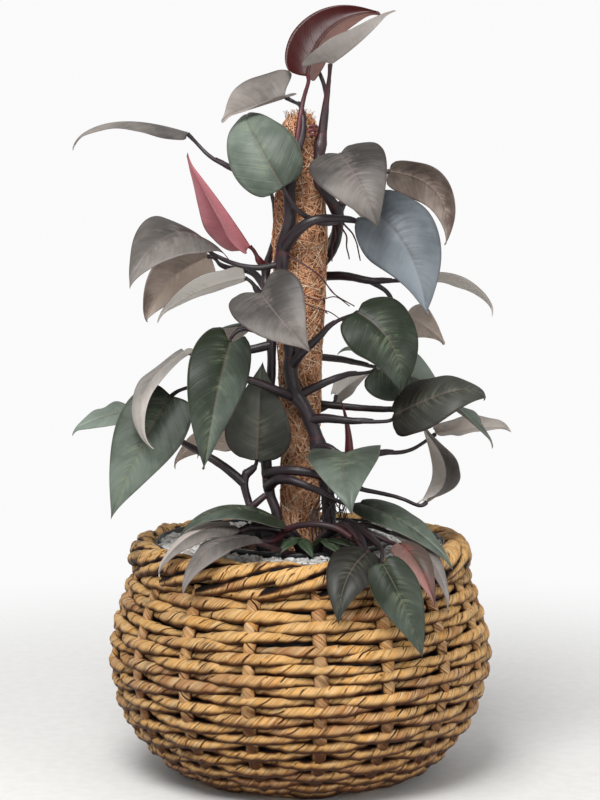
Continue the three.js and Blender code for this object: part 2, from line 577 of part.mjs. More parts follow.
// The smooth inside of the basket from its top edge down to the axis, drawn in by spare
function basketInner(spare) {
  const floor = BASKET_WALL - 3 + spare;
  const wall = [1, 0.78, 0.5, 0.22].map((at) => {
    const place = BASKET_OUTLINE.getPointAt(at);
    const direction = BASKET_OUTLINE.getTangentAt(at);
    const inset = BASKET_WALL + spare;
    return [place.x - direction.y * inset, at === 1 ? WALL_TOP : place.y + direction.x * inset];
  });
  return [...wall, [128 - spare, floor], [0, floor]];
}

// The rope border, its turns laid slantwise, flat where it sits on the wall
function basketRim() {
  const profile = Array.from({ length: RIM.rows }, (_, row) => {
    const angle = (2 * Math.PI * (row + 0.5)) / RIM.rows;
    return [RIM.radius + RIM.tube * Math.cos(angle), RIM.height + RIM.tube * Math.sin(angle)];
  });
  return turned(profile, RIM.columns, (row, column) => {
    const angle = (2 * Math.PI * (row + 0.5)) / RIM.rows;
    const slant = (Math.PI * STAKES * column) / RIM.columns - angle / 2;
    const radius = RIM.tube - RIM.groove * (1 - Math.abs(Math.sin(slant)));
    const seated = Math.sin(angle) < -0.9;
    const height = seated ? WALL_TOP + SEAT_GAP : RIM.height + radius * Math.sin(angle);
    return [RIM.radius + radius * Math.cos(angle), height];
  });
}

// Inside line of the liner, or its outside where spare is smaller, from its top edge down to the axis
function linerLine(spare) {
  const inner = basketInner(spare);
  const neck = LINER.neck + SEAT_GAP - spare;
  return [[neck, LINER.top], [neck, WALL_TOP + 3], ...inner.slice(1)];
}

function liner() {
  const outside = linerLine(SEAT_GAP).reverse();
  const inside = linerLine(SEAT_GAP + LINER.wall);
  return turned([...outside, ...inside], 2 * STAKES);
}

// The outside of the culture pot, grown by spare, from the axis up to its lip
function potOutside(spare) {
  return [
    [0, POT.bottom - spare],
    [POT.foot + spare, POT.bottom - spare],
    [POT.mouth + spare, POT.top - POT.lipHeight - spare],
    [POT.lip + spare, POT.top - POT.lipHeight - spare],
    [POT.lip + spare, POT.top + spare],
  ];
}

// The inside of the culture pot, drawn in by spare, from its mouth down to the axis
function potInside(spare) {
  return [
    [POT.mouth - POT.wall - spare, POT.top],
    [POT.foot - POT.wall - spare, POT.bottom + POT.wall + spare],
    [0, POT.bottom + POT.wall + spare],
  ];
}

function culturePot() {
  return turned([...potOutside(0), ...potInside(0)], POT.columns);
}

// Pumice fills the liner under and round the culture pot
function pumiceFill() {
  const random = seededRandom(11);
  const bumps = 2.5;
  const line = linerLine(2 * SEAT_GAP + LINER.wall);
  const edge = [line[0][0], PUMICE_TOP];
  const rings = PUMICE_RINGS.map((radius) => [radius, PUMICE_TOP]);
  const profile = [...line.slice(1).reverse(), edge, ...rings, [0, PUMICE_TOP]];
  const firstRing = profile.length - rings.length - 1;
  const fill = turned(profile, 2 * STAKES, (row) => {
    const [radius, height] = profile[row];
    const rises = row >= firstRing && radius > 0;
    return [radius, height + (rises ? bumps * (2 * random() - 1) : 0)];
  });
  const room = turned([...potOutside(SEAT_GAP), [0, POT.top + SEAT_GAP]], POT.columns);
  return geometryFrom(solidOf(fill).subtract(solidOf(room)));
}

function stemPath({ climb, path }) {
  if (path) return path;
  return climb.map(([height, turn, out]) => {
    const angle = radians(turn);
    return [out * Math.cos(angle), out * Math.sin(angle), height];
  });
}

// The root ball, with a plain hole for each stem and for the pole
function rootBall() {
  const random = seededRandom(5);
  const bumps = 3;
  const [mouth, foot, floor] = potInside(SEAT_GAP);
  const top = [mouth[0] - 1, SOIL_TOP];
  const rings = SOIL_RINGS.map((radius) => [radius, SOIL_TOP]);
  const profile = [floor, foot, top, ...rings, [0, SOIL_TOP]];
  const ball = turned(profile, POT.columns, (row) => {
    const [radius, height] = profile[row];
    const rises = row > 2 && radius > 0;
    return [radius, height + (rises ? bumps * (2 * random() - 1) : 0)];
  });
  let solid = solidOf(ball);
  const above = SOIL_TOP + 20;
  const cut = (geometry) => {
    solid = solid.subtract(solidOf(geometry));
  };
  const poleHole = (radius, bottom) => {
    cut(turned([[0, bottom], [radius, bottom], [radius, above], [0, above]], POLE.columns));
  };
  const stemHole = ([start, ...rest], radii, sides, steps) => {
    const deeper = [start[0], start[1], start[2] - SEAT_GAP];
    const spare = radii.map((radius) => radius + 2 * SEAT_GAP);
    cut(tube([deeper, ...rest], ...spare, sides, steps));
  };
  poleHole(POLE.core + SEAT_GAP, POLE.coreBottom - SEAT_GAP);
  poleHole(SLEEVE_OUTLINE[0][1] + 5 * SEAT_GAP, POLE.sleeveBottom - SEAT_GAP);
  Object.values(VINES).forEach((vine) => stemHole(stemPath(vine), vine.radius, STEM_SIDES, stemSteps(vine)));
  stemHole([SPROUT.foot, SPROUT.head], [SPROUT.radius, SPROUT.radius], STALK_SIDES, 2);
  return geometryFrom(solid);
}

// The coir sleeve: lumpy outside, with a blind bore for the core from below
function poleCoir() {
  const random = seededRandom(3);
  const lumps = 1.2;
  const bore = POLE.core + SEAT_GAP;
  const boreTop = POLE.coreTop + SEAT_GAP;
  const inside = [[0, boreTop], [bore, boreTop], [bore, POLE.sleeveBottom]];
  const outside = SLEEVE_OUTLINE.map(([height, radius]) => [radius, height]);
  const cap = [[POLE.capRadius, POLE.sleeveTop], [0, POLE.sleeveTop]];
  const profile = [...inside, ...outside, ...cap];
  return turned(profile, POLE.columns, (row) => {
    const [radius, height] = profile[row];
    const lumpy = row > inside.length && row < profile.length - cap.length;
    return [radius - (lumpy ? lumps * random() : 0), height];
  });
}

function poleCore() {
  const { core, coreBottom, coreTop, columns } = POLE;
  return turned([[0, coreBottom], [core, coreBottom], [core, coreTop], [0, coreTop]], columns);
}

const stemSteps = (vine) => stemPath(vine).length + 1;

// A stem with its stalks and aerial roots, grown together. Each stalk ends just short of its blade.
function vineSolid(vine) {
  const path = stemPath(vine);
  let solid = solidOf(tube(path, ...vine.radius, STEM_SIDES, stemSteps(vine)));
  vine.stalks.forEach(({ blade, thick, via }) => {
    const places = [...via, ...stalkTop(BLADES[blade])];
    solid = solid.add(solidOf(tube(places, thick, STALK_END, STALK_SIDES, via.length + 2)));
  });
  vine.roots.forEach((places) => {
    solid = solid.add(solidOf(tube(places, AERIAL_ROOT, AERIAL_ROOT, FINE_SIDES, 4)));
  });
  return geometryFrom(solid);
}

function sproutSolid() {
  const stations = [0, 0.25, 0.65];
  const lines = [-1, 0, 1];
  let solid = solidOf(tube([SPROUT.foot, SPROUT.head], SPROUT.radius, SPROUT.radius, STALK_SIDES, 2));
  SPROUT.leaves.forEach((leaf) => {
    const [x, y, z] = SPROUT.head;
    const bend = [(x + leaf.base[0]) / 2, (y + leaf.base[1]) / 2, z + SPROUT.stalkRise];
    const stalk = tube([[x, y, z - SPROUT.radius], bend, leaf.base], ...SPROUT.stalk, FINE_SIDES, 3);
    solid = solid.add(solidOf(stalk)).add(solidOf(bladeSolid({ lobe: 0, ...leaf }, stations, lines)));
  });
  return geometryFrom(solid);
}

const plant = new THREE.Group();

function addPiece(group, name, geometry, material) {
  const mesh = new THREE.Mesh(geometry, material);
  mesh.name = name;
  group.add(mesh);
}

const basket = new THREE.Group();
addPiece(basket, "basket_body", basketBody(), rope);
addPiece(basket, "basket_rim", basketRim(), rope.clone());
addPiece(basket, "basket_liner", liner(), film);
plant.add(basket);

const filling = new THREE.Group();
addPiece(filling, "culture_pot", culturePot(), potPlastic);
addPiece(filling, "pumice_fill", pumiceFill(), pumice);
addPiece(filling, "root_ball", rootBall(), peat);
plant.add(filling);

const pole = new THREE.Group();
addPiece(pole, "pole_coir", poleCoir(), coir);
addPiece(pole, "pole_core", poleCore(), pipe);
plant.add(pole);

const stems = new THREE.Group();
Object.entries(VINES).forEach(([name, vine]) => addPiece(stems, name, vineSolid(vine), bark.clone()));
addPiece(stems, "juvenile_sprout", sproutSolid(), sproutGreen);
plant.add(stems);

const foliage = new THREE.Group();
Object.entries(BLADES).forEach(([name, blade]) => {
  const material = new THREE.MeshStandardMaterial({ color: TONES[blade.tone], roughness: 0.5, metalness: 0 });
  addPiece(foliage, "leaf_" + name, bladeSolid(blade), material);
});
plant.add(foliage);

export default plant;
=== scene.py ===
"""Looks of a potted red philodendron: a climbing plant on a coir pole in a lined, woven rope basket.

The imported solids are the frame. Each sub-assembly below is a class that builds its own pieces in metres,
in the same frame, from sizes in millimetres, and dresses them with node materials.
"""
from __future__ import annotations

import logging
import math
from dataclasses import dataclass, field
from enum import Enum
from typing import Any

import bpy
import numpy as np
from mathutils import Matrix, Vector

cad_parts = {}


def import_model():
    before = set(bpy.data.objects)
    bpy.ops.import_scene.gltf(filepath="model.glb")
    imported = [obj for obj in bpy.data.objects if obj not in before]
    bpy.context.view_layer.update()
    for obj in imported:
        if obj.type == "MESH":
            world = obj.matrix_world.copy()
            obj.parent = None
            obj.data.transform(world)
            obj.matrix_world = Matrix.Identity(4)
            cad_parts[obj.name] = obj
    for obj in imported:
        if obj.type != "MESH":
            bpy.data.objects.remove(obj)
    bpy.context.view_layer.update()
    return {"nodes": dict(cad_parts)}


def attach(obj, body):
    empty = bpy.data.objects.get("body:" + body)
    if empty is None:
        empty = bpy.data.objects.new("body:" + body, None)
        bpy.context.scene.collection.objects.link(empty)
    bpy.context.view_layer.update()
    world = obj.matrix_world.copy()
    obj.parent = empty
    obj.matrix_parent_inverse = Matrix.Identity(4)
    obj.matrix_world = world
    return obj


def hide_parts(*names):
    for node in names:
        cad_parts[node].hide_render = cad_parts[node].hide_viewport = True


MM = 0.001
TURN = 2 * math.pi
BODY = "root"
SEED = 7
SPLINE_PLACES = 16
SMALLEST_GAP = 1e-4
LONGEST_RUN_SHIFT = 900

# How far the strips of a rope stray from an even winding, in strips, and how often per metre
STRIP_DRIFT = 1.1
STRIP_DRIFT_SCALE = 28.0
GROOVES_PER_METRE = 22.0
FINE_VEINS_PER_PAIR = 4.0
# How dark the painted shade gets on the downward sides of the basket's ropes
UNDERSIDE_SHADE = 0.72

Place = tuple[float, float, float]
Colour = tuple[float, float, float, float]

# Places of a short stalk, its radius at both ends, and its redness
Shoot = tuple[tuple[Place, ...], float, float, float]

log = logging.getLogger("philodendron")


class Tone(Enum):
    """The colour family of a leaf's upper side."""

    SLATE = "slate"
    BLUE = "blue"
    GREEN = "green"
    DARK = "dark"
    RED = "red"
    MAROON = "maroon"
    BROWN = "brown"
    PALE = "pale"
    PINK = "pink"


@dataclass(frozen=True)
class Blade:
    """A leaf blade, in millimetres.

    base is where the stalk joins, tip the drip tip, and face the way the upper side looks. arch bows the
    midrib towards the upper side, sweep to its left, and bend is where; fold raises both halves by degrees.
    lobe is how far the lobes reach back, as a share of the length, and shoulder the width at the base as a
    share of width. light is how light it is painted within its tone, about 0 to 1 and more: partly its own
    tone, partly painted light that lifts a leaf lying in shade. split is how much lighter its right half is
    painted than
    its left half, seen from the upper side: painted light and shade for how light falls on each half.
    """

    base: Place
    tip: Place
    face: Place
    width: float
    tone: Tone
    arch: float = 0
    sweep: float = 0
    bend: float = 0.5
    fold: float = 0
    lobe: float = 0.1
    shoulder: float = 0.5
    light: float = 0.5
    split: float = 0


@dataclass(frozen=True)
class Stalk:
    """A leaf stalk: its blade, its radius where it leaves the stem, and the places it goes through.

    red is how red it is, from nearly black (0) up, and tipped tells whether its sheath has a free tip.
    """

    blade: str
    thick: float
    via: tuple[Place, ...]
    red: float = 0.2
    tipped: bool = True


@dataclass(frozen=True)
class Vine:
    """A stem with its stalks and aerial roots.

    climb gives height, degrees round the pole from +X and distance from its axis; path gives plain places.
    girth is how much thicker or thinner the stem is than the solid that it stands for.
    """

    radius: tuple[float, float]
    stalks: tuple[Stalk, ...]
    climb: tuple[Place, ...] = ()
    path: tuple[Place, ...] = ()
    girth: float = 1.0
    roots: tuple[tuple[Place, ...], ...] = ()

    def places(self) -> list[Place]:
        """Returns the places that the stem goes through, from its foot to its top."""
        if self.path:
            return list(self.path)
        return [
            (out * math.cos(math.radians(turn)), out * math.sin(math.radians(turn)), height)
            for height, turn, out in self.climb
        ]


BLADES: dict[str, Blade] = {
    "crown_maroon": Blade((10, 9, 886), (102, 17, 966), (0.36, 0.67, 0.65), 72, Tone.MAROON, arch=17,
        sweep=21, fold=30, lobe=0, shoulder=0.58, light=0.28, split=-0.95),
    "crown_grey": Blade((37, -32, 900), (113, -63, 967), (-0.58, 0.02, 0.82), 86, Tone.SLATE, arch=-4,
        fold=33, lobe=0.25, shoulder=0.6, light=0.6),
    "top_left_grey": Blade((-18, 10, 860), (-96, -46, 833), (-0.31, -0.57, 0.76), 88, Tone.SLATE, arch=-5,
        sweep=10, bend=0.3, fold=28, lobe=0.15, shoulder=0.67, light=0.47),
    "far_left_edge": Blade((-141, -3, 815), (-289, -10, 797), (-0.44, -0.07, 0.9), 80, Tone.SLATE, arch=24,
        bend=0.68, fold=-16, lobe=0, light=0.3),
    "round_green": Blade((-21, -74, 748), (-63, 28, 838), (0.03, -1, 0), 89, Tone.GREEN, arch=38, sweep=-8,
        bend=0.6, fold=-8, lobe=0, shoulder=0.42, light=0.46, split=-0.1),
    "new_red": Blade((-64, 5, 672), (-146, 1, 787), (-0.63, -0.3, -0.72), 92, Tone.RED, sweep=7, fold=34,
        lobe=0, light=1.1),
    "left_grey": Blade((-116, -36, 680), (-211, -103, 628), (-0.12, -0.58, 0.81), 112, Tone.SLATE, arch=30,
        sweep=11, bend=0.3, fold=-3, lobe=0.16, shoulder=0.58, light=0.22, split=-0.1),
    "left_brown": Blade((-116, 14, 660), (-196, -20, 576), (-0.22, 0.94, 0.26), 68, Tone.BROWN, arch=32,
        sweep=-5, lobe=0, shoulder=0.42, light=0.6, split=0.65),
    "left_pale": Blade((-69, -5, 634), (-184, 6, 580), (-0.55, 0.4, 0.73), 74, Tone.PALE, arch=8, sweep=-5,
        fold=9, lobe=0, light=1.5),
    "centre_heart": Blade((-48, -100, 620), (12, -149, 554), (-0.26, -0.7, 0.66), 96, Tone.SLATE, arch=8,
        sweep=4, fold=14, lobe=0.12, shoulder=0.56, light=0.24),
    "upper_heart": Blade((49, -81, 789), (96, -141, 699), (0.05, -0.96, 0.28), 94, Tone.SLATE, arch=20,
        shoulder=0.45, light=0.17, split=0.1),
    "right_brown": Blade((112, -5, 768), (186, -1, 673), (0.32, 0.85, 0.42), 61, Tone.BROWN, arch=24,
        sweep=22, fold=-12, lobe=0, light=0.17, split=-0.12),
    "big_blue": Blade((97, -99, 713), (153, -136, 594), (-0.45, -0.76, 0.47), 101, Tone.BLUE, arch=12,
        sweep=-16, fold=-22, lobe=0.21, shoulder=0.44, light=0.5, split=0.3),
    "right_edge": Blade((168, 6, 635), (248, -2, 587), (0, 0.26, 0.97), 64, Tone.PALE, arch=14, sweep=4,
        fold=-5, lobe=0.07, shoulder=0.42, light=0.65),
    "front_green_right": Blade((70, -101, 597), (123, -114, 493), (0, -0.82, 0.57), 90, Tone.GREEN, arch=22,
        sweep=-14, fold=-5, lobe=0.04, shoulder=0.46, light=-0.03),
    "behind_brown": Blade((130, 25, 582), (183, -42, 552), (0.49, 0.87, -0.08), 48, Tone.BROWN, arch=-9,
        sweep=8, fold=20, lobe=0, light=0.58),
    "behind_green": Blade((96, -22, 520), (182, -26, 492), (0.1, -0.8, 0.55), 86, Tone.GREEN, arch=8,
        lobe=0.1, light=0.4, split=-0.5),
    "hidden_tip": Blade((130, 100, 520), (48, 70, 535), (0, -0.3, 0.9), 60, Tone.GREEN, arch=8, lobe=0.1,
        light=0.4),
    "dark_broad": Blade((117, -81, 468), (233, -77, 487), (-0.04, -0.66, 0.75), 82, Tone.DARK, arch=36,
        sweep=9, bend=0.86, fold=-8, lobe=0.04, shoulder=0.42, light=0.16),
    "far_right_pale": Blade((173, 11, 434), (271, 39, 438), (-0.33, 0.34, 0.88), 86, Tone.PALE, sweep=13,
        fold=5, lobe=0, shoulder=0.42, light=0.31),
    "right_green_tip": Blade((195, -18, 469), (243, -72, 429), (0.45, 0, 0.89), 44, Tone.GREEN, arch=4,
        sweep=11, fold=18, lobe=0.07, shoulder=0.42, light=0.46),
    "right_curled": Blade((158, -56, 356), (150, -34, 451), (-0.87, -0.49, 0), 70, Tone.PALE, arch=-42,
        sweep=-13, bend=0.3, lobe=0, shoulder=0.46, light=0.64, split=-1.15),
    "arrow_green": Blade((56, -93, 422), (62, -200, 363), (0.03, -0.98, -0.2), 88, Tone.GREEN, arch=18,
        sweep=5, fold=4, lobe=0.17, shoulder=0.96, light=0.33),
    "behind_pale": Blade((46, 58, 478), (98, 66, 510), (0, 0.5, 0.85), 56, Tone.PALE, arch=4, lobe=0.1,
        light=0.9, split=1.3),
    "big_left_green": Blade((-160, -62, 490), (-235, -100, 340), (-0.12, -0.95, 0.25), 88, Tone.GREEN,
        arch=8, sweep=4, lobe=0.02, light=0.31),
    "left_curved": Blade((-143, -59, 545), (-182, -117, 427), (-0.79, -0.41, 0.45), 70, Tone.PALE, arch=31,
        sweep=8, bend=0.62, lobe=0.03, shoulder=0.58, light=0.38, split=-0.2),
    "front_green_left": Blade((-86, -83, 559), (-118, -110, 400), (0.25, -0.87, -0.43), 85, Tone.GREEN,
        arch=26, sweep=14, fold=-20, lobe=0.12, shoulder=0.42, light=0.2, split=-0.4),
    "up_green": Blade((-54, -52, 408), (-47, -46, 532), (-0.1, -0.95, 0.1), 84, Tone.DARK, arch=5, lobe=0,
        shoulder=0.3, light=0.42, split=-0.25),
    "far_left_green": Blade((-213, 4, 463), (-291, -14, 438), (0, -0.4, 0.9), 54, Tone.GREEN, arch=6,
        lobe=0.02, light=0.64),
    "low_brown": Blade((-86, 28, 420), (-165, 22, 389), (-0.37, 0.53, 0.76), 72, Tone.BROWN, arch=16,
        fold=4, lobe=0.03, shoulder=0.42, light=1.8),
    "rim_left_green": Blade((-25, -96, 338), (-150, -140, 328), (0, -0.15, 1), 74, Tone.GREEN, arch=24,
        fold=-8, lobe=0.02, light=0.08, split=-0.1),
    "rim_left_pale": Blade((-85, -118, 335), (-175, -165, 281), (-0.3, -0.3, 0.9), 56, Tone.SLATE, arch=20,
        fold=-8, lobe=0.04, light=0.7, split=0.75),
    "rim_left_grey": Blade((-60, -140, 325), (-143, -214, 266), (-0.35, -0.3, 0.9), 64, Tone.SLATE, arch=24,
        fold=-8, lobe=0.04, light=0.24),
    "rim_front_dark": Blade((80, -188, 314), (45, -246, 238), (0, -0.8, 0.55), 62, Tone.DARK, arch=12,
        sweep=9, lobe=0.04, shoulder=0.35, light=0.0),
    "rim_front_green": Blade((98, -218, 306), (146, -240, 195), (-0.05, -0.9, 0.4), 56, Tone.GREEN, arch=14,
        sweep=-3, lobe=0.03, shoulder=0.4, light=0.08),
    "rim_pink": Blade((121, -164, 320), (162, -218, 252), (0.1, -0.7, 0.65), 40, Tone.PINK, arch=16, fold=8,
        lobe=0, light=0.22, split=0.5),
    "rim_slate": Blade((120, -112, 326), (180, -198, 246), (0.5, -0.4, 0.75), 42, Tone.SLATE, arch=18,
        lobe=0.02, light=0.35),
    "rim_right_green": Blade((74, -80, 357), (188, -164, 291), (0.3, -0.5, 0.8), 58, Tone.GREEN, arch=14,
        lobe=0, light=0.21, split=-0.1),
    "back_crown": Blade((14, 55, 916), (21, 113, 899), (-0.07, 0.7, 0.7), 60, Tone.SLATE, arch=10),
    "back_upper_left": Blade((-46, 98, 773), (-83, 176, 761), (-0.23, 0.7, 0.68), 73, Tone.SLATE, arch=7),
    "back_upper_right": Blade((65, 91, 737), (99, 153, 682), (0.44, 0.51, 0.56), 73, Tone.GREEN, arch=10),
    "back_mid_left": Blade((-68, 93, 568), (-112, 158, 513), (-0.56, 0.65, 0.77), 76, Tone.GREEN, arch=12),
    "back_mid_right": Blade((15, 97, 598), (-54, 164, 586), (0.06, 0.56, 0.64), 80, Tone.BLUE, arch=12),
    "back_low_left": Blade((-67, 94, 452), (-139, 142, 387), (-0.22, 0.8, 0.6), 80, Tone.GREEN, arch=12),
    "back_low_right": Blade((14, 112, 381), (50, 194, 337), (0.15, 0.88, 0.58), 74, Tone.DARK, arch=7),
}

VINES: dict[str, Vine] = {
    "vine_front": Vine(
        radius=(8, 6.5),
        climb=((262, -58, 66), (350, -50, 56), (395, -55, 50), (427, -62, 48), (452, -71, 45),
            (472, -82, 43), (491, -98, 42), (516, -106, 42), (548, -106, 42), (595, -113, 45),
            (645, -118, 49), (680, -114, 49), (705, -106, 47), (727, -106, 46), (750, -108, 44),
            (775, -104, 41), (796, -98, 39)),
        girth=1.15,
        stalks=(
            Stalk("crown_maroon", 4.5, ((-6, -39, 788), (-2, -34, 820), (4, -22, 856)), red=0.8,
                tipped=False),
            Stalk("top_left_grey", 4, ((-6, -39, 786), (4, -34, 816), (2, -22, 846))),
            Stalk("far_left_edge", 4, ((-15, -41, 750), (-47, -38, 759), (-85, -24, 771),
                (-115, -8, 787))),
            Stalk("left_grey", 4.5, ((-21, -43, 655), (-47, -48, 648), (-80, -40, 652), (-104, -26, 662)),
                tipped=False),
            Stalk("centre_heart", 4, ((-24, -43, 633), (-33, -72, 626))),
            Stalk("big_blue", 6, ((-20, -45, 672), (-5, -62, 693), (14, -70, 708), (44, -66, 710),
                (80, -58, 704), (98, -74, 700))),
            Stalk("front_green_right", 5, ((-11, -40, 523), (0, -55, 541), (20, -68, 560),
                (44, -78, 584))),
            Stalk("behind_green", 4.5, ((-2, -42, 488), (25, -46, 502), (54, -40, 513))),
            Stalk("dark_broad", 5, ((8, -43, 457), (27, -52, 461), (62, -66, 459), (92, -76, 459))),
            Stalk("far_right_pale", 5, ((20, -44, 424), (48, -40, 412), (76, -24, 409), (103, -12, 412),
                (138, 2, 412))),
            Stalk("arrow_green", 4, ((20, -44, 422), (35, -68, 428))),
            Stalk("big_left_green", 5, ((-7, -41, 485), (-30, -64, 497), (-62, -74, 511), (-97, -72, 512),
                (-129, -66, 503))),
            Stalk("front_green_left", 4, ((-14, -40, 570), (-37, -58, 570), (-60, -68, 573),
                (-76, -66, 574))),
        ),
        roots=(
            ((-20, -44, 668), (20, -56, 642), (45, -50, 615), (68, -40, 600)),
        ),
    ),
    "vine_right": Vine(
        radius=(8, 6),
        climb=((262, 75, 52), (343, 80, 49), (409, 80, 48), (473, 80, 48), (538, 80, 48), (602, 78, 50),
            (640, 66, 53), (668, 38, 52), (698, 7, 48), (716, -12, 48), (734, -38, 46), (754, -56, 44),
            (789, -52, 39), (812, -42, 36)),
        girth=1.1,
        stalks=(
            Stalk("crown_grey", 7.5, ((26, -25, 800), (30, -23, 835), (35, -24, 872)), red=0.68,
                tipped=False),
            Stalk("round_green", 4, ((46, -8, 706), (26, -48, 704), (0, -66, 716))),
            Stalk("upper_heart", 4, ((22, -36, 757), (35, -50, 772))),
            Stalk("right_brown", 4, ((45, -14, 721), (65, -8, 736), (90, -5, 758))),
            Stalk("right_edge", 5, ((20, 49, 632), (57, 32, 634), (92, 14, 628), (140, 4, 630))),
            Stalk("behind_brown", 3.5, ((88, 16, 628), (114, 24, 612)), tipped=False),
            Stalk("hidden_tip", 4, ((8, 47, 530), (56, 84, 522), (100, 106, 510))),
            Stalk("right_green_tip", 4, ((8, 47, 470), (74, 36, 464), (140, 4, 464))),
            Stalk("behind_pale", 4, ((8, 47, 452), (30, 58, 462))),
            Stalk("back_crown", 4, ((26, -25, 800), (32, 2, 830), (33, 42, 866), (24, 58, 894)),
                tipped=False),
            Stalk("back_upper_right", 4, ((22, 48, 642), (46, 70, 692))),
            Stalk("back_mid_right", 4, ((10, 49, 585), (20, 72, 588))),
            Stalk("back_low_right", 4.5, ((8, 47, 400), (12, 78, 400))),
        ),
        roots=(
            ((44, -8, 715), (43, -20, 690), (40, -24, 655)),
            ((46, -8, 712), (56, -12, 690), (62, -14, 657)),
            ((46, -6, 712), (66, -8, 690), (76, -8, 655)),
        ),
    ),
    "vine_left": Vine(
        radius=(7.5, 6),
        climb=((262, -122, 46), (340, -131, 46), (361, -142, 48), (392, -147, 50), (418, -149, 50),
            (468, -150, 46), (517, -147, 43), (559, -148, 43), (599, -165, 43), (624, -195, 45),
            (650, -203, 47)),
        girth=0.86,
        stalks=(
            Stalk("new_red", 4.5, ((-41, 18, 645), (-54, 3, 655)), red=0.85),
            Stalk("left_brown", 4, ((-42, 14, 616), (-62, 38, 640), (-98, 34, 644))),
            Stalk("left_pale", 4, ((-42, -6, 605), (-56, -6, 618)), red=0.35),
            Stalk("left_curved", 4.5, ((-38, -24, 550), (-69, -26, 543), (-107, -24, 545))),
            Stalk("low_brown", 4.5, ((-43, -26, 403), (-60, 0, 409))),
            Stalk("right_curled", 5.5, ((-43, -28, 388), (-17, -58, 396), (11, -64, 394), (47, -56, 381),
                (75, -48, 371), (106, -44, 364), (130, -46, 358))),
            Stalk("rim_right_green", 5.5, ((-40, -30, 371), (-28, -52, 384), (-6, -72, 384), (14, -76, 376),
                (46, -77, 360))),
            Stalk("back_upper_left", 4, ((-43, 19, 646), (-30, 50, 690), (-38, 74, 744))),
            Stalk("back_mid_left", 4, ((-42, -2, 600), (-58, 30, 592), (-62, 62, 584))),
            Stalk("back_low_left", 4, ((-41, -24, 440), (-62, 20, 442), (-66, 62, 450))),
        ),
    ),
    "vine_thin": Vine(
        radius=(6, 4.5),
        path=((-48, -62, 262), (-50, -60, 300), (-58, -58, 338), (-65, -52, 357), (-70, -48, 378),
            (-67, -46, 393)),
        stalks=(
            Stalk("up_green", 4.5, ((-67, -46, 390),)),
            Stalk("far_left_green", 4.5, ((-70, -48, 378), (-93, -42, 397), (-117, -34, 411),
                (-145, -20, 424), (-184, -2, 444))),
        ),
    ),
    "vine_rim_right": Vine(
        radius=(8, 5),
        path=((22, -80, 262), (22, -80, 303), (38, -92, 325), (60, -108, 334), (80, -126, 330)),
        stalks=(
            Stalk("rim_pink", 4.5, ((80, -126, 330),), red=0.52, tipped=False),
            Stalk("rim_front_dark", 4.5, ((60, -108, 334), (70, -134, 328), (78, -160, 320)), red=0.48),
            Stalk("rim_front_green", 5, ((60, -108, 334), (80, -136, 328), (99, -176, 315)), red=0.52),
            Stalk("rim_slate", 4.5, ((60, -108, 334), (90, -106, 334)), red=0.52, tipped=False),
        ),
    ),
    "vine_rim_left": Vine(
        radius=(8, 4.5),
        path=((0, -78, 262), (0, -78, 303), (-20, -92, 323), (-40, -100, 330), (-62, -108, 332)),
        stalks=(
            Stalk("rim_left_pale", 4.5, ((-62, -108, 332),), red=0.52),
            Stalk("rim_left_grey", 4.5, ((-20, -92, 323), (-32, -114, 316), (-46, -130, 318)), red=0.55),
            Stalk("rim_left_green", 4, ((0, -78, 306), (-8, -90, 326)), red=0.45),
        ),
    ),
}

# Buds at the crown, the red shoot right of the pole, and two long thin roots in front of it
RED_SHOOTS: tuple[Shoot, ...] = (
    (((10, -37, 817), (15, -38, 819), (20, -34, 817)), 2.8, 2.2, 1.0),
    (((12, -37, 823), (17, -38, 824), (21, -34, 822)), 2.6, 2.0, 1.0),
    (((12, -36, 812), (16, -37, 813), (20, -34, 812)), 2.4, 1.8, 1.0),
    (((63, 10, 406), (62, 10, 430), (58, 10, 456), (52, 10, 477)), 6.4, 0.5, 0.9),
    (((0, -42, 617), (22, -45, 608), (44, -44, 612), (62, -40, 600)), 0.9, 0.6, 0.8),
    (((-1, -42, 608), (19, -45, 598), (37, -44, 593), (55, -40, 580)), 0.9, 0.6, 0.8),
)

# Short stalks and stubs that cross the foot in front of the pole
FOOT_STALKS: tuple[Shoot, ...] = (
    (((-19, -100, 327), (0, -112, 335), (24, -124, 338), (46, -132, 334), (63, -142, 325)), 4.3, 3.4, 0.7),
    (((35, -100, 330), (54, -125, 336), (68, -142, 326), (78, -155, 314), (85, -166, 307)), 4.4, 3.2, 0.7),
    (((-72, -166, 326), (-51, -150, 319), (-31, -130, 309), (-16, -108, 300)), 3.0, 3.4, 0.72),
    (((-64, -70, 347), (-55, -70, 356), (-43, -68, 366)), 5.0, 4.0, 0.58),
)

SPROUT_FOOT = (14, -94, 262)
SPROUT_HEAD = (14, -96, 306)
SPROUT_LEAVES = (
    Blade((-6, -106, 318), (-28, -126, 299), (-0.3, -0.7, 0.6), 17, Tone.GREEN, arch=3, lobe=0),
    Blade((2, -108, 316), (17, -132, 295), (0.2, -0.8, 0.5), 16, Tone.GREEN, arch=3, lobe=0),
    Blade((29, -108, 317), (54, -136, 297), (0.3, -0.7, 0.6), 18, Tone.GREEN, arch=4, lobe=0),
    Blade((36, -110, 317), (74, -134, 306), (0.2, -0.4, 0.9), 15, Tone.GREEN, arch=4, lobe=0),
)


def paint(code: str) -> Colour:
    """Turns a colour as seen on screen into the linear one that shaders take.

    Args:
        code: six hexadecimal digits, red first.

    Returns:
        Linear red, green and blue, and full alpha.
    """
    parts = [int(code[i : i + 2], 16) / 255 for i in (0, 2, 4)]
    linear = [part / 12.92 if part <= 0.04045 else ((part + 0.055) / 1.055) ** 2.4 for part in parts]
    return (*linear, 1.0)


def unit(vector: np.ndarray) -> np.ndarray:
    """Returns vectors scaled to length 1 along their last axis."""
    return vector / np.maximum(np.linalg.norm(vector, axis=-1, keepdims=True), 1e-12)


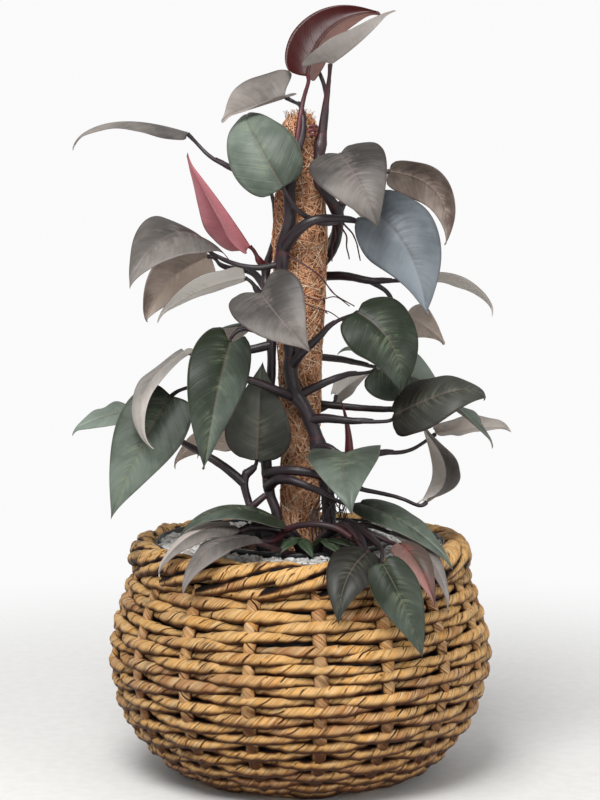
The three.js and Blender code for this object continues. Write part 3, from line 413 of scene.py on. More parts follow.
def around(out: Any, angle: Any, height: Any) -> np.ndarray:
    """Returns places from their distance from the Z axis, their angle round it and their height."""
    return np.stack([out * np.cos(angle), out * np.sin(angle), height], axis=-1)


def lengths_along(places: np.ndarray) -> np.ndarray:
    """Returns how far along a line each of its places is."""
    return np.concatenate([[0], np.cumsum(np.linalg.norm(np.diff(places, axis=0), axis=1))])


def wander(at: np.ndarray, spacing: float, seed: int) -> np.ndarray:
    """Draws a smooth random line.

    Args:
        at: where along the line, in any unit.
        spacing: distance between its random knots, in the same unit.
        seed: a number that settles the line.

    Returns:
        Values from -1 to 1, one for each place.
    """
    scaled = np.asarray(at, float) / spacing
    scaled = scaled - scaled.min()
    knots = np.random.default_rng(seed).uniform(-1, 1, int(scaled.max()) + 3)
    low = scaled.astype(int)
    share = scaled - low
    share = share * share * (3 - 2 * share)
    return knots[low] * (1 - share) + knots[low + 1] * share


def resampled(places: np.ndarray, step: float) -> np.ndarray:
    """Returns a line through the same places with even steps of about the length step."""
    lengths = lengths_along(places)
    count = max(2, int(round(lengths[-1] / step)) + 1)
    at = np.linspace(0, lengths[-1], count)
    return np.stack([np.interp(at, lengths, places[:, axis]) for axis in range(places.shape[1])], axis=1)


def spline_piece(
    start: np.ndarray, end: np.ndarray, leave: np.ndarray, arrive: np.ndarray, count: int
) -> list[np.ndarray]:
    """Lays one piece of a cubic spline.

    Args:
        start: where it starts.
        end: where it ends.
        leave: its direction and speed at the start.
        arrive: the same at the end.
        count: how many places it gives.

    Returns:
        Places from start up to just before end.
    """
    cubic = 2 * start - 2 * end + leave + arrive
    square = -3 * start + 3 * end - 2 * leave - arrive
    shares = np.linspace(0, 1, count, endpoint=False)
    return [((cubic * at + square) * at + leave) * at + start for at in shares]


def smooth_line(knots: list[Place], step: float) -> np.ndarray:
    """Lays a smooth line through places, rounded by the distance between them (a centripetal spline).

    Args:
        knots: the places, in millimetres.
        step: spacing of the line's own places, in millimetres.

    Returns:
        Places in millimetres, evenly spaced.
    """
    given = np.array(knots, float)
    ends = [2 * given[0] - given[1], *given, 2 * given[-1] - given[-2]]
    places = []
    for first, start, end, last in zip(ends, ends[1:], ends[2:], ends[3:]):
        pairs = ((first, start), (start, end), (end, last))
        before, here, after = (max(np.linalg.norm(b - a) ** 0.5, SMALLEST_GAP) for a, b in pairs)
        leave = (start - first) / before - (end - first) / (before + here) + (end - start) / here
        arrive = (end - start) / here - (last - start) / (here + after) + (last - end) / after
        places += spline_piece(start, end, leave * here, arrive * here, SPLINE_PLACES)
    places.append(given[-1])
    return resampled(np.array(places), step)


def swayed(line: np.ndarray, amount: float, spacing: float, seed: int) -> np.ndarray:
    """Returns a line that wanders by an amount in its middle and keeps its ends."""
    share = np.linspace(0, 1, len(line))
    sway = np.stack([wander(share, spacing, seed + axis) for axis in range(3)], axis=1)
    return line + amount * sway * np.sin(share * math.pi)[:, None]


@dataclass
class Strand:
    """A rope, stem, root or fibre before it gets its thickness.

    places and radius are in millimetres. tint, from 0 to 1, is a shade of colour that its material may use
    along it.
    face is the way out of the wall that it lies in, and none where it stands free. Where it is set, the
    strand tree paints shade on the sides that face into the wall and on the sides that face down.
    """

    places: np.ndarray
    radius: np.ndarray | float
    tint: np.ndarray | float = 0.5
    face: np.ndarray | tuple[float, ...] = (0, 0, 0)


def put(name: str, mesh: bpy.types.Mesh) -> bpy.types.Object:
    """Returns a new object of that name and mesh, linked to the scene."""
    mesh.name = name
    thing = bpy.data.objects.new(name, mesh)
    bpy.context.scene.collection.objects.link(thing)
    return thing


def strand_lines(name: str, strands: list[Strand]) -> bpy.types.Object:
    """Lays strands out as chains of edges with radius, run (length so far, in metres), tint and face."""
    values = {"radius": [], "run": [], "tint": []}
    places, outs, edges = [], [], []
    start = 0
    shift = np.random.default_rng(SEED + len(name))
    for strand in strands:
        count = len(strand.places)
        places.append(strand.places * MM)
        values["radius"].append(np.broadcast_to(strand.radius, count) * MM)
        values["run"].append((lengths_along(strand.places) + shift.uniform(0, LONGEST_RUN_SHIFT)) * MM)
        values["tint"].append(np.broadcast_to(strand.tint, count))
        outs.append(np.broadcast_to(np.array(strand.face, float), (count, 3)))
        indices = np.arange(start, start + count)
        edges.append(np.stack([indices[:-1], indices[1:]], axis=1))
        start += count
    mesh = bpy.data.meshes.new(name)
    mesh.from_pydata(np.concatenate(places).tolist(), np.concatenate(edges).tolist(), [])
    for key, parts in values.items():
        mesh.attributes.new(key, "FLOAT", "POINT").data.foreach_set("value", np.concatenate(parts))
    faces = mesh.attributes.new("face", "FLOAT_VECTOR", "POINT")
    faces.data.foreach_set("vector", np.concatenate(outs).ravel())
    return put(name, mesh)


def mesh_of(
    name: str, places: np.ndarray, faces: list, materials: list[bpy.types.Material]
) -> bpy.types.Object:
    """Builds a smooth object from places in millimetres.

    Args:
        name: the object's name.
        places: one row for each point.
        faces: corner numbers of each face, counter-clockwise seen from outside.
        materials: what its material slots hold.

    Returns:
        The new object.
    """
    mesh = bpy.data.meshes.new(name)
    mesh.from_pydata((places * MM).tolist(), [], faces)
    mesh.polygons.foreach_set("use_smooth", [True] * len(mesh.polygons))
    for material in materials:
        mesh.materials.append(material)
    return put(name, mesh)


def revolved(profile: np.ndarray, columns: int, shift: np.ndarray | None = None) -> tuple[np.ndarray, list]:
    """Builds a closed solid of revolution about Z.

    Args:
        profile: radius and height of each ring, with the material on its left. It starts and ends on the axis
            or closes on itself.
        columns: places round each ring.
        shift: how far to move each place outward and upward, by ring and column.

    Returns:
        The places and the faces.
    """
    rings = len(profile)
    angles = np.arange(columns) * TURN / columns
    radius = np.repeat(profile[:, :1], columns, axis=1)
    height = np.repeat(profile[:, 1:], columns, axis=1)
    if shift is not None:
        radius = radius + shift[..., 0] * (profile[:, :1] > 0)
        height = height + shift[..., 1]
    grid = around(radius, angles, height)
    places: list[np.ndarray] = []
    index = np.zeros((rings, columns), int)
    for ring in range(rings):
        if profile[ring, 0] == 0:
            index[ring] = len(places)
            places.append(np.array([0, 0, grid[ring, :, 2].mean()]))
        else:
            index[ring] = np.arange(columns) + len(places)
            places.extend(grid[ring])
    closed = profile[0, 0] > 0
    faces = []
    for ring in range(rings if closed else rings - 1):
        below, above = index[ring], index[(ring + 1) % rings]
        for column in range(columns):
            after = (column + 1) % columns
            corners = [below[column], below[after], above[after], above[column]]
            faces.append([int(corner) for corner in dict.fromkeys(corners)])
    return np.array(places), faces


class Wiring:
    """Short calls for laying out a node tree, of a shader or of geometry."""

    def __init__(self, tree: bpy.types.NodeTree) -> None:
        """Takes the tree that the nodes go into."""
        self.tree = tree

    def add(self, kind: str, inputs: dict[str | int, Any] | None = None, **settings: Any) -> bpy.types.Node:
        """Adds a node.

        Args:
            kind: Blender's name of the node type.
            inputs: a value or a socket for each input, by name or number.
            **settings: the node's own settings.

        Returns:
            The node.
        """
        node = self.tree.nodes.new(kind)
        for key, value in settings.items():
            setattr(node, key, value)
        for key, value in (inputs or {}).items():
            if isinstance(value, bpy.types.NodeSocket):
                self.tree.links.new(value, node.inputs[key])
            else:
                node.inputs[key].default_value = value
        return node

    def first(self, kind: str, inputs: dict[str | int, Any] | None = None, **settings: Any) -> Any:
        """Adds a node as add does, and returns its first output."""
        return self.add(kind, inputs, **settings).outputs[0]

    def math(self, operation: str, *values: Any) -> bpy.types.NodeSocket:
        """Returns the result of a Math node on the values."""
        return self.first("ShaderNodeMath", dict(enumerate(values)), operation=operation)

    def times(self, *values: Any) -> bpy.types.NodeSocket:
        """Returns the product of two values."""
        return self.math("MULTIPLY", *values)

    def plus(self, *values: Any) -> bpy.types.NodeSocket:
        """Returns the sum of two values."""
        return self.math("ADD", *values)

    def scaled(self, *values: Any) -> bpy.types.NodeSocket:
        """Returns the first value times the second, plus the third."""
        return self.math("MULTIPLY_ADD", *values)

    def larger(self, *values: Any) -> bpy.types.NodeSocket:
        """Returns the larger of two values."""
        return self.math("MAXIMUM", *values)

    def vector(self, operation: str, *values: Any, **named: Any) -> bpy.types.NodeSocket:
        """Returns the result of a Vector Math node: a number for a product or a length, else a vector."""
        node = self.add("ShaderNodeVectorMath", {**dict(enumerate(values)), **named}, operation=operation)
        return node.outputs["Value" if operation in ("DOT_PRODUCT", "LENGTH") else 0]

    def fade(self, value: Any, low: float, high: float, start: Any = 0.0, end: Any = 1.0) -> Any:
        """Returns start where value is at low, end where it is at high, and a smooth change between."""
        inputs = {0: value, 1: low, 2: high, 3: start, 4: end}
        return self.first("ShaderNodeMapRange", inputs, interpolation_type="SMOOTHSTEP")

    def blend(self, share: Any, first: Any, second: Any) -> bpy.types.NodeSocket:
        """Returns a colour between first and second."""
        inputs = {0: share, 6: first, 7: second}
        return self.add("ShaderNodeMix", inputs, data_type="RGBA", blend_type="MIX").outputs[2]

    def noise(self, vector: Any, scale: Any, detail: float = 2, rough: float = 0.5) -> bpy.types.NodeSocket:
        """Returns the value of a Noise texture."""
        inputs = {"Vector": vector, "Scale": scale, "Detail": detail, "Roughness": rough}
        return self.first("ShaderNodeTexNoise", inputs)

    def spot(self, *parts: Any) -> bpy.types.NodeSocket:
        """Returns a vector of three parts."""
        return self.first("ShaderNodeCombineXYZ", dict(enumerate(parts)))

    def parts(self, vector: Any) -> list[bpy.types.NodeSocket]:
        """Returns the three parts of a vector."""
        return list(self.add("ShaderNodeSeparateXYZ", {0: vector}).outputs)

    def object_place(self) -> bpy.types.NodeSocket:
        """Returns the place on the object, in a shader tree."""
        return self.add("ShaderNodeTexCoord").outputs["Object"]

    def named(self, name: str, kind: str = "FLOAT") -> bpy.types.NodeSocket:
        """Returns a value that the mesh carries, in a geometry tree."""
        return self.first("GeometryNodeInputNamedAttribute", {0: name}, data_type=kind)

    def stored(self, mesh: Any, name: str, value: Any, kind: str = "FLOAT", domain: str = "POINT") -> Any:
        """Returns the geometry with a value stored in it, in a geometry tree."""
        inputs = {"Geometry": mesh, "Name": name, "Value": value}
        return self.first("GeometryNodeStoreNamedAttribute", inputs, data_type=kind, domain=domain)

    def give(self, result: Any, *values: Any) -> bpy.types.NodeTree:
        """Links values to the tree's outputs in their order, and returns the tree."""
        for socket, value in enumerate(values):
            self.tree.links.new(value, result[socket])
        return self.tree


def group(
    kind: str, name: str, inputs: dict[str, tuple[str, Any]], outputs: dict[str, str]
) -> tuple[Wiring, Any, Any]:
    """Starts a node group with named sockets.

    Args:
        kind: the type of tree.
        name: the group's name.
        inputs: socket type and default value of each input.
        outputs: socket type of each output.

    Returns:
        Its wiring, its input node's outputs and its output node's inputs.
    """
    tree = bpy.data.node_groups.new(name, kind)
    for label, (socket, value) in inputs.items():
        made = tree.interface.new_socket(label, in_out="INPUT", socket_type="NodeSocket" + socket)
        if value is not None:
            made.default_value = value
    for label, socket in outputs.items():
        tree.interface.new_socket(label, in_out="OUTPUT", socket_type="NodeSocket" + socket)
    wiring = Wiring(tree)
    return wiring, wiring.add("NodeGroupInput").outputs, wiring.add("NodeGroupOutput").inputs


def applied(thing: bpy.types.Object, tree: bpy.types.NodeTree, values: dict[str, Any]) -> bpy.types.Object:
    """Runs a geometry tree on an object and keeps the result as its plain mesh.

    Args:
        thing: the object, which has not been evaluated yet.
        tree: the geometry tree.
        values: its inputs by name.

    Returns:
        The same object with the new mesh and no modifier.
    """
    modifier = thing.modifiers.new(tree.name, "NODES")
    modifier.node_group = tree
    for item in tree.interface.items_tree:
        if item.in_out == "INPUT" and item.name in values:
            modifier[item.identifier] = values[item.name]
    depsgraph = bpy.context.evaluated_depsgraph_get()
    depsgraph.update()
    result = bpy.data.meshes.new_from_object(thing.evaluated_get(depsgraph), depsgraph=depsgraph)
    thing.modifiers.remove(modifier)
    old = thing.data
    thing.data = result
    result.name = thing.name
    bpy.data.meshes.remove(old)
    return thing


def winding(wiring: Wiring, side: Any, run: Any, place: Any, given: Any) -> tuple[Any, Any]:
    """Lays out how strips wind round a strand, for their relief and their paint alike.

    Args:
        wiring: of the tree.
        side: which way the skin looks at a place, across the strand.
        run: how far along the strand the place is, in metres.
        place: the place itself.
        given: the group's inputs, with Lay and Strips among them.

    Returns:
        How many turns the strips have made up to the place, and how far across its strip it lies, 0 to 1.
    """
    x, y, _ = wiring.parts(side)
    turn = wiring.math("DIVIDE", wiring.math("ARCTAN2", y, x), TURN)
    wound = wiring.plus(turn, wiring.math("DIVIDE", run, given["Lay"]))
    drift = wiring.times(wiring.noise(place, STRIP_DRIFT_SCALE, 1.0), STRIP_DRIFT)
    return wound, wiring.math("FRACT", wiring.plus(wiring.times(wound, given["Strips"]), drift))


def strand_tree() -> bpy.types.NodeTree:
    """Lays out the geometry tree that gives strands their thickness, their wound or lumpy skin and painted
    shade.
    """
    inputs = {
        "Geometry": ("Geometry", None),
        "Sides": ("Int", 12),
        "Step Height": ("Float", 0.0),
        "Lay": ("Float", 0.05),
        "Strips": ("Float", 2.0),
        "Lump Height": ("Float", 0.0),
        "Lump Scale": ("Float", 60.0),
        "Material": ("Material", None),
    }
    wiring, given, result = group("GeometryNodeTree", "swept_strand", inputs, {"Geometry": "Geometry"})
    line = wiring.first("GeometryNodeMeshToCurve", {0: given["Geometry"]})
    circle = wiring.first("GeometryNodeCurvePrimitiveCircle", {"Resolution": given["Sides"], "Radius": 1.0})
    place = wiring.first("GeometryNodeInputPosition")
    section = wiring.stored(circle, "side", place, "FLOAT_VECTOR")
    sweep = {"Curve": line, "Profile Curve": section, "Scale": wiring.named("radius"), "Fill Caps": True}
    skin = wiring.first("GeometryNodeCurveToMesh", sweep)
    side = wiring.named("side", "FLOAT_VECTOR")
    _, strip = winding(wiring, side, wiring.named("run"), place, given)
    edge = wiring.times(strip, wiring.fade(strip, 0.84, 1.0, 1.0, 0.0))
    step = wiring.times(wiring.math("SUBTRACT", edge, 0.5), given["Step Height"])
    lumps = wiring.math("SUBTRACT", wiring.noise(place, given["Lump Scale"], 2.0), 0.5)
    normal = wiring.first("GeometryNodeInputNormal")
    offset = wiring.vector("SCALE", normal, Scale=wiring.scaled(lumps, given["Lump Height"], step))
    shaped = wiring.first("GeometryNodeSetPosition", {"Geometry": skin, "Offset": offset})
    face = wiring.named("face", "FLOAT_VECTOR")
    # Painted shade on the basket's ropes: darker where the skin faces into the wall, in the recesses of the
    # weave, and where it faces down, as if shade fell there
    inward_shade_mask = wiring.fade(wiring.vector("DOT_PRODUCT", normal, face), -0.1, 0.62, 1.0, 0.0)
    under = wiring.times(wiring.fade(wiring.parts(normal)[2], -0.9, 0.4, 1.0, 0.0), UNDERSIDE_SHADE)
    painted_shade = wiring.times(wiring.larger(inward_shade_mask, under), wiring.vector("LENGTH", face))
    marked = wiring.stored(shaped, "painted_shade", painted_shade)
    smooth = wiring.first("GeometryNodeSetShadeSmooth", {"Geometry": marked})
    whole = wiring.first("GeometryNodeRealizeInstances", {"Geometry": smooth})
    dressed = wiring.first("GeometryNodeSetMaterial", {"Geometry": whole, "Material": given["Material"]})
    return wiring.give(result, dressed)


def scatter_tree() -> bpy.types.NodeTree:
    """Lays out the geometry tree that strews angular grains over a surface."""
    inputs = {
        "Geometry": ("Geometry", None),
        "Density": ("Float", 1000.0),
        "Smallest": ("Vector", (0.004, 0.004, 0.004)),
        "Largest": ("Vector", (0.008, 0.008, 0.008)),
        "Angular": ("Float", 0.002),
        "Seed": ("Int", SEED),
        "Material": ("Material", None),
    }
    wiring, given, result = group("GeometryNodeTree", "strewn_grains", inputs, {"Geometry": "Geometry"})
    spread = {"Mesh": given["Geometry"], "Density": given["Density"], "Seed": given["Seed"]}
    points = wiring.first("GeometryNodeDistributePointsOnFaces", spread)
    cube = wiring.first("GeometryNodeMeshCube", {"Size": (1, 1, 1), 1: 3, 2: 3, 3: 3})
    place = wiring.first("GeometryNodeInputPosition")
    half = wiring.vector("SCALE", wiring.vector("NORMALIZE", place), Scale=0.5)
    pebble = wiring.first("GeometryNodeSetPosition", {"Geometry": cube, "Position": half})
    spin, size = (
        wiring.first("FunctionNodeRandomValue", {0: low, 1: high, "Seed": seed}, data_type="FLOAT_VECTOR")
        for low, high, seed in (((0, 0, 0), (TURN,) * 3, 1), (given["Smallest"], given["Largest"], 2))
    )
    copies = {"Points": points, "Instance": pebble, "Rotation": spin, "Scale": size}
    laid = wiring.first("GeometryNodeInstanceOnPoints", copies)
    shade = wiring.add("FunctionNodeRandomValue", {"Seed": 3}, data_type="FLOAT").outputs[1]
    tinted = wiring.stored(laid, "tint", shade, domain="INSTANCE")
    whole = wiring.first("GeometryNodeRealizeInstances", {"Geometry": tinted})
    waves = wiring.add("ShaderNodeTexNoise", {"Vector": place, "Scale": 260.0, "Detail": 1.0}).outputs[1]
    centred = wiring.vector("SUBTRACT", waves, (0.5, 0.5, 0.5))
    offset = wiring.vector("SCALE", centred, Scale=given["Angular"])
    rough = wiring.first("GeometryNodeSetPosition", {"Geometry": whole, "Offset": offset})
    dressed = wiring.first("GeometryNodeSetMaterial", {"Geometry": rough, "Material": given["Material"]})
    return wiring.give(result, dressed)


def fibre_group() -> bpy.types.NodeTree:
    """Lays out the effect of strips wound round a rope: fine grooves along the strips, and their edges."""
    inputs = {
        "Side": ("Vector", (1, 0, 0)),
        "Run": ("Float", 0.0),
        "Lay": ("Float", 0.05),
        "Strips": ("Float", 2.0),
        "Fineness": ("Float", 6.0),
    }
    outputs = {"Grooves": "Float", "Strip": "Float", "Drift": "Float"}
    wiring, given, result = group("ShaderNodeTree", "wound_fibre", inputs, outputs)
    place = wiring.object_place()
    wound, strip = winding(wiring, given["Side"], given["Run"], place, given)
    angle = wiring.times(wound, TURN)
    across = [wiring.times(wiring.math(kind, angle), given["Fineness"]) for kind in ("COSINE", "SINE")]
    along = wiring.times(given["Run"], GROOVES_PER_METRE)
    grooves = wiring.noise(wiring.spot(*across, along), 1.0, 3.0, 0.62)
    return wiring.give(result, grooves, strip, wiring.noise(place, 21.0, 3.0, 0.6))


def mottle_group() -> bpy.types.NodeTree:
    """Lays out the effect of uneven colour: broad patches and fine specks, on Object coordinates."""
    inputs = {"Broad": ("Float", 20.0), "Fine": ("Float", 300.0)}
    outputs = {"Patches": "Float", "Specks": "Float"}
    wiring, given, result = group("ShaderNodeTree", "mottle", inputs, outputs)
    place = wiring.object_place()
    patches = wiring.fade(wiring.noise(place, given["Broad"], 4.0, 0.6), 0.36, 0.64)
    return wiring.give(result, patches, wiring.noise(place, given["Fine"], 2.0, 0.6))


def vein_group() -> bpy.types.NodeTree:
    """Lays out the effect of a blade's veins on its UV map: u from edge to edge, v from base to tip."""
    inputs = {"Map": ("Vector", (0.5, 0.5, 0)), "Pairs": ("Float", 9.0)}
    outputs = dict.fromkeys(("Midrib", "Veins", "Margin", "Quilt", "Streaks"), "Float")
    wiring, given, result = group("ShaderNodeTree", "leaf_veins", inputs, outputs)
    across, along, _ = wiring.parts(given["Map"])
    spread = wiring.math("ABSOLUTE", wiring.scaled(across, 2.0, -1.0))
    reach = wiring.times(wiring.math("POWER", spread, 1.25), 0.2)
    uneven = wiring.times(wiring.noise(wiring.object_place(), 14.0, 1.0), 0.9)
    order = wiring.scaled(wiring.math("SUBTRACT", along, reach), given["Pairs"], uneven)
    from_middle = wiring.math("SUBTRACT", wiring.math("FRACT", order), 0.5)
    wave = wiring.times(wiring.math("ABSOLUTE", from_middle), 2.0)
    slender = wiring.times(spread, wiring.scaled(along, 0.9, 0.7))
    midrib = wiring.fade(slender, 0.01, 0.05, 1.0, 0.0)
    fine = wiring.math("FRACT", wiring.times(order, FINE_VEINS_PER_PAIR))
    thread = wiring.times(wiring.fade(fine, 0.7, 1.0), 0.35)
    veins = wiring.larger(wiring.fade(wave, 0.86, 0.98), thread)
    margin = wiring.fade(spread, 0.97, 0.995)
    streaks = wiring.noise(wiring.spot(wiring.times(order, 1.6), across, 0.0), 2.0, 4.0, 0.65)
    return wiring.give(result, midrib, veins, margin, wave, streaks)


class Effects:
    """The shared node groups, built once and placed in each material with its own values."""

    def __init__(self) -> None:
        """Builds the groups."""
        self.fibre = fibre_group()
        self.mottle = mottle_group()
        self.veins = vein_group()


class Skin:
    """A material that is being laid out round one Principled shader."""

    def __init__(self, name: str, effects: Effects, **constants: Any) -> None:
        """Starts a material.

        Args:
            name: its name.
            effects: the shared node groups.
            **constants: fixed values of the shader's sockets, with _ for a space.
        """
        self.material = bpy.data.materials.new(name)
        self.material.use_nodes = True
        self.effects = effects
        self.wiring = Wiring(self.material.node_tree)
        self.shader = self.material.node_tree.nodes["Principled BSDF"]
        for key, value in constants.items():
            self.shader.inputs[key.replace("_", " ")].default_value = value

    def effect(self, tree: bpy.types.NodeTree, **values: Any) -> bpy.types.bpy_prop_collection:
        """Places a shared group with its own values, and returns the group's outputs."""
        return self.wiring.add("ShaderNodeGroup", values, node_tree=tree).outputs

    def fibre(self, **values: float) -> bpy.types.bpy_prop_collection:
        """Places the effect of wound strips, and returns its grooves, strips and drift."""
        side, run = self.attribute("side", "Vector"), self.attribute("run")
        return self.effect(self.effects.fibre, Side=side, Run=run, **values)

    def mottle(self, broad: float, fine: float) -> bpy.types.bpy_prop_collection:
        """Places the effect of uneven colour, and returns its patches and specks."""
        return self.effect(self.effects.mottle, Broad=broad, Fine=fine)

    def attribute(self, name: str, output: str = "Fac") -> bpy.types.NodeSocket:
        """Returns an attribute of the mesh."""
        return self.wiring.add("ShaderNodeAttribute", attribute_name=name).outputs[output]

    def finish(self, colour: Any, roughness: Any, height: Any, depth: float) -> bpy.types.Material:
        """Connects colour, roughness and a bump of that depth in metres, and returns the material."""
        links = self.wiring.tree.links
        links.new(colour, self.shader.inputs["Base Color"])
        links.new(roughness, self.shader.inputs["Roughness"])
        bump = self.wiring.add("ShaderNodeBump", {"Strength": 1.0, "Distance": depth, "Height": height})
        links.new(bump.outputs[0], self.shader.inputs["Normal"])
        return self.material


@dataclass(frozen=True)
class RopeFinish:
    """Dried-leaf strips twisted into rope: golden, with painted highlights and painted shade, and stained in
    places.
    """

    # The palest colour is the fibres' own paler tone and partly a painted highlight; the two darkest colours
    # are painted shade, brown and then near black
    pale: str = "ffeabd"
    golden: str = "ffb855"
    brown: str = "bd6a1a"
    painted_shade_brown: str = "603006"
    painted_shade_black: str = "0a0200"
    stain: str = "4a2620"
    lay: float = 0.046
    strips: float = 2.0

    def material(self, effects: Effects) -> bpy.types.Material:
        """Builds the material."""
        skin = Skin("dried_leaf_rope", effects, Specular_IOR_Level=0.3)
        wiring = skin.wiring
        grooves, strip, drift = skin.fibre(Lay=self.lay, Strips=self.strips)
        patches, specks = skin.mottle(34.0, 420.0)
        lighter = wiring.scaled(skin.attribute("tint"), 0.6, -0.3)
        shade = wiring.scaled(drift, 0.9, lighter)
        colour = wiring.blend(wiring.fade(shade, 0.12, 0.45), paint(self.brown), paint(self.golden))
        # Paler on the ridges of the grooves: partly the fibres' paler tone, partly a painted highlight
        colour = wiring.blend(wiring.fade(grooves, 0.44, 0.66, 0.1, 0.8), colour, paint(self.pale))
        stained = wiring.times(wiring.fade(drift, 0.55, 0.68), wiring.fade(grooves, 0.62, 0.42))
        colour = wiring.blend(wiring.times(stained, 0.85), colour, paint(self.stain))
        # Painted shade: the darkening gathers the fine cracks, the steps where one strip lies over the next
        # (broken up by patches, partly a stain there), and the painted shade stored on the mesh; it goes
        # through brown to near black
        lines = wiring.fade(grooves, 0.33, 0.44, 1.0, 0.0)
        step_shadow_and_stain = wiring.times(wiring.fade(strip, 0.86, 0.97), wiring.fade(patches, 0.25, 0.85))
        dark = wiring.larger(wiring.times(lines, 0.85), wiring.times(step_shadow_and_stain, 0.95))
        dark = wiring.larger(dark, skin.attribute("painted_shade"))
        colour = wiring.blend(wiring.fade(dark, 0.0, 0.6), colour, paint(self.painted_shade_brown))
        colour = wiring.blend(wiring.fade(dark, 0.4, 0.95), colour, paint(self.painted_shade_black))
        roughness = wiring.fade(grooves, 0.3, 0.66, 0.75, 0.36)
        height = wiring.scaled(specks, 0.12, grooves)
        return skin.finish(colour, roughness, height, 0.0048)


@dataclass(frozen=True)
class CoirFinish:
    """Coconut fibre: orange-brown threads, some light, over a dark matted ground.

    stretch is how finely the mat's threads lie across the pole, twice, and along it.
    """

    ground: str = "a8643a"
    fibre: str = "ffc89c"
    straw: str = "fff0d8"
    shadow: str = "3a2114"
    dark: str = "8a5230"
    stretch: Place = (320.0, 320.0, 90.0)

    def mat(self, effects: Effects) -> bpy.types.Material:
        """Builds the material of the matted sleeve under the loose fibres."""
        skin = Skin("coir_mat", effects, Specular_IOR_Level=0.2)
        wiring = skin.wiring
        patches, specks = skin.mottle(60.0, 520.0)
        place = wiring.parts(wiring.object_place())
        stretched = [wiring.times(part, scale) for part, scale in zip(place, self.stretch)]
        threads = wiring.noise(wiring.spot(*stretched), 1.0, 4.0, 0.7)
        colour = wiring.blend(wiring.fade(threads, 0.42, 0.6), paint(self.ground), paint(self.fibre))
        colour = wiring.blend(wiring.times(patches, 0.25), colour, paint(self.shadow))
        height = wiring.plus(threads, specks)
        return skin.finish(colour, wiring.fade(specks, 0.3, 0.7, 0.95, 0.8), height, 0.004)

    def thread(self, effects: Effects) -> bpy.types.Material:
        """Builds the material of the loose fibres, lighter or darker by their tint."""
        skin = Skin("coir_thread", effects, Specular_IOR_Level=0.3)
        wiring = skin.wiring
        patches, specks = skin.mottle(90.0, 700.0)
        tint = skin.attribute("tint")
        colour = wiring.blend(wiring.fade(tint, 0.0, 0.5), paint(self.dark), paint(self.fibre))
        colour = wiring.blend(wiring.fade(tint, 0.6, 1.0), colour, paint(self.straw))
        colour = wiring.blend(wiring.times(patches, 0.3), colour, paint(self.ground))
        return skin.finish(colour, wiring.fade(specks, 0.3, 0.7, 0.85, 0.65), specks, 0.0005)


@dataclass(frozen=True)
class StemFinish:
    """Stem and stalk skin: purple-black with a half gloss, redder where tint is high."""

    dark: str = "1d151a"
    plum: str = "3b2a30"
    red: str = "5c2026"
    scar: str = "7a655c"

    def material(self, effects: Effects) -> bpy.types.Material:
        """Builds the material."""
        skin = Skin("stem_skin", effects, Specular_IOR_Level=0.5, Coat_Weight=0.12, Coat_Roughness=0.3)
        wiring = skin.wiring
        patches, specks = skin.mottle(55.0, 900.0)
        grooves, _, drift = skin.fibre(Lay=6.0, Strips=1.0, Fineness=1.6)
        colour = wiring.blend(wiring.fade(grooves, 0.4, 0.7), paint(self.dark), paint(self.plum))
        colour = wiring.blend(wiring.fade(skin.attribute("tint"), 0.5, 1.0), colour, paint(self.red))
        scars = wiring.times(wiring.fade(specks, 0.62, 0.7), wiring.fade(drift, 0.5, 0.62))
        colour = wiring.blend(wiring.times(scars, 0.6), colour, paint(self.scar))
        height = wiring.scaled(specks, 0.25, grooves)
        return skin.finish(colour, wiring.fade(patches, 0.0, 1.0, 0.34, 0.5), height, 0.0008)


@dataclass(frozen=True)
class GritFinish:
    """Loose grains: a pale and a dark colour that their tint blends, and a cast that some of them have."""

    name: str
    pale: str
    dark: str
    cast: str
    rough: float

    def material(self, effects: Effects) -> bpy.types.Material:
        """Builds the material."""
        skin = Skin(self.name, effects, Specular_IOR_Level=0.3)
        wiring = skin.wiring
        patches, specks = skin.mottle(150.0, 1100.0)
        tint = skin.attribute("tint")
        colour = wiring.blend(wiring.fade(tint, 0.05, 0.8), paint(self.dark), paint(self.pale))
        colour = wiring.blend(wiring.fade(tint, 0.86, 0.9), colour, paint(self.cast))
        colour = wiring.blend(wiring.fade(specks, 0.5, 0.36), colour, paint(self.dark))
        roughness = wiring.fade(specks, 0.3, 0.7, self.rough, self.rough - 0.12)
        return skin.finish(colour, roughness, wiring.plus(specks, patches), 0.0016)


@dataclass(frozen=True)
class PlasticFinish:
    """Black plastic with fine scuffs and dust: the culture pot, the liner film or the pole's pipe."""

    name: str
    colour: str
    dust: str
    rough: float

    def material(self, effects: Effects) -> bpy.types.Material:
        """Builds the material."""
        skin = Skin(self.name, effects, Specular_IOR_Level=0.5)
        wiring = skin.wiring
        patches, specks = skin.mottle(40.0, 800.0)
        dusty = wiring.times(wiring.fade(specks, 0.45, 0.7), wiring.times(patches, 0.5))
        colour = wiring.blend(dusty, paint(self.colour), paint(self.dust))
        roughness = wiring.fade(patches, 0.0, 1.0, self.rough, self.rough + 0.2)
        return skin.finish(colour, roughness, specks, 0.0003)


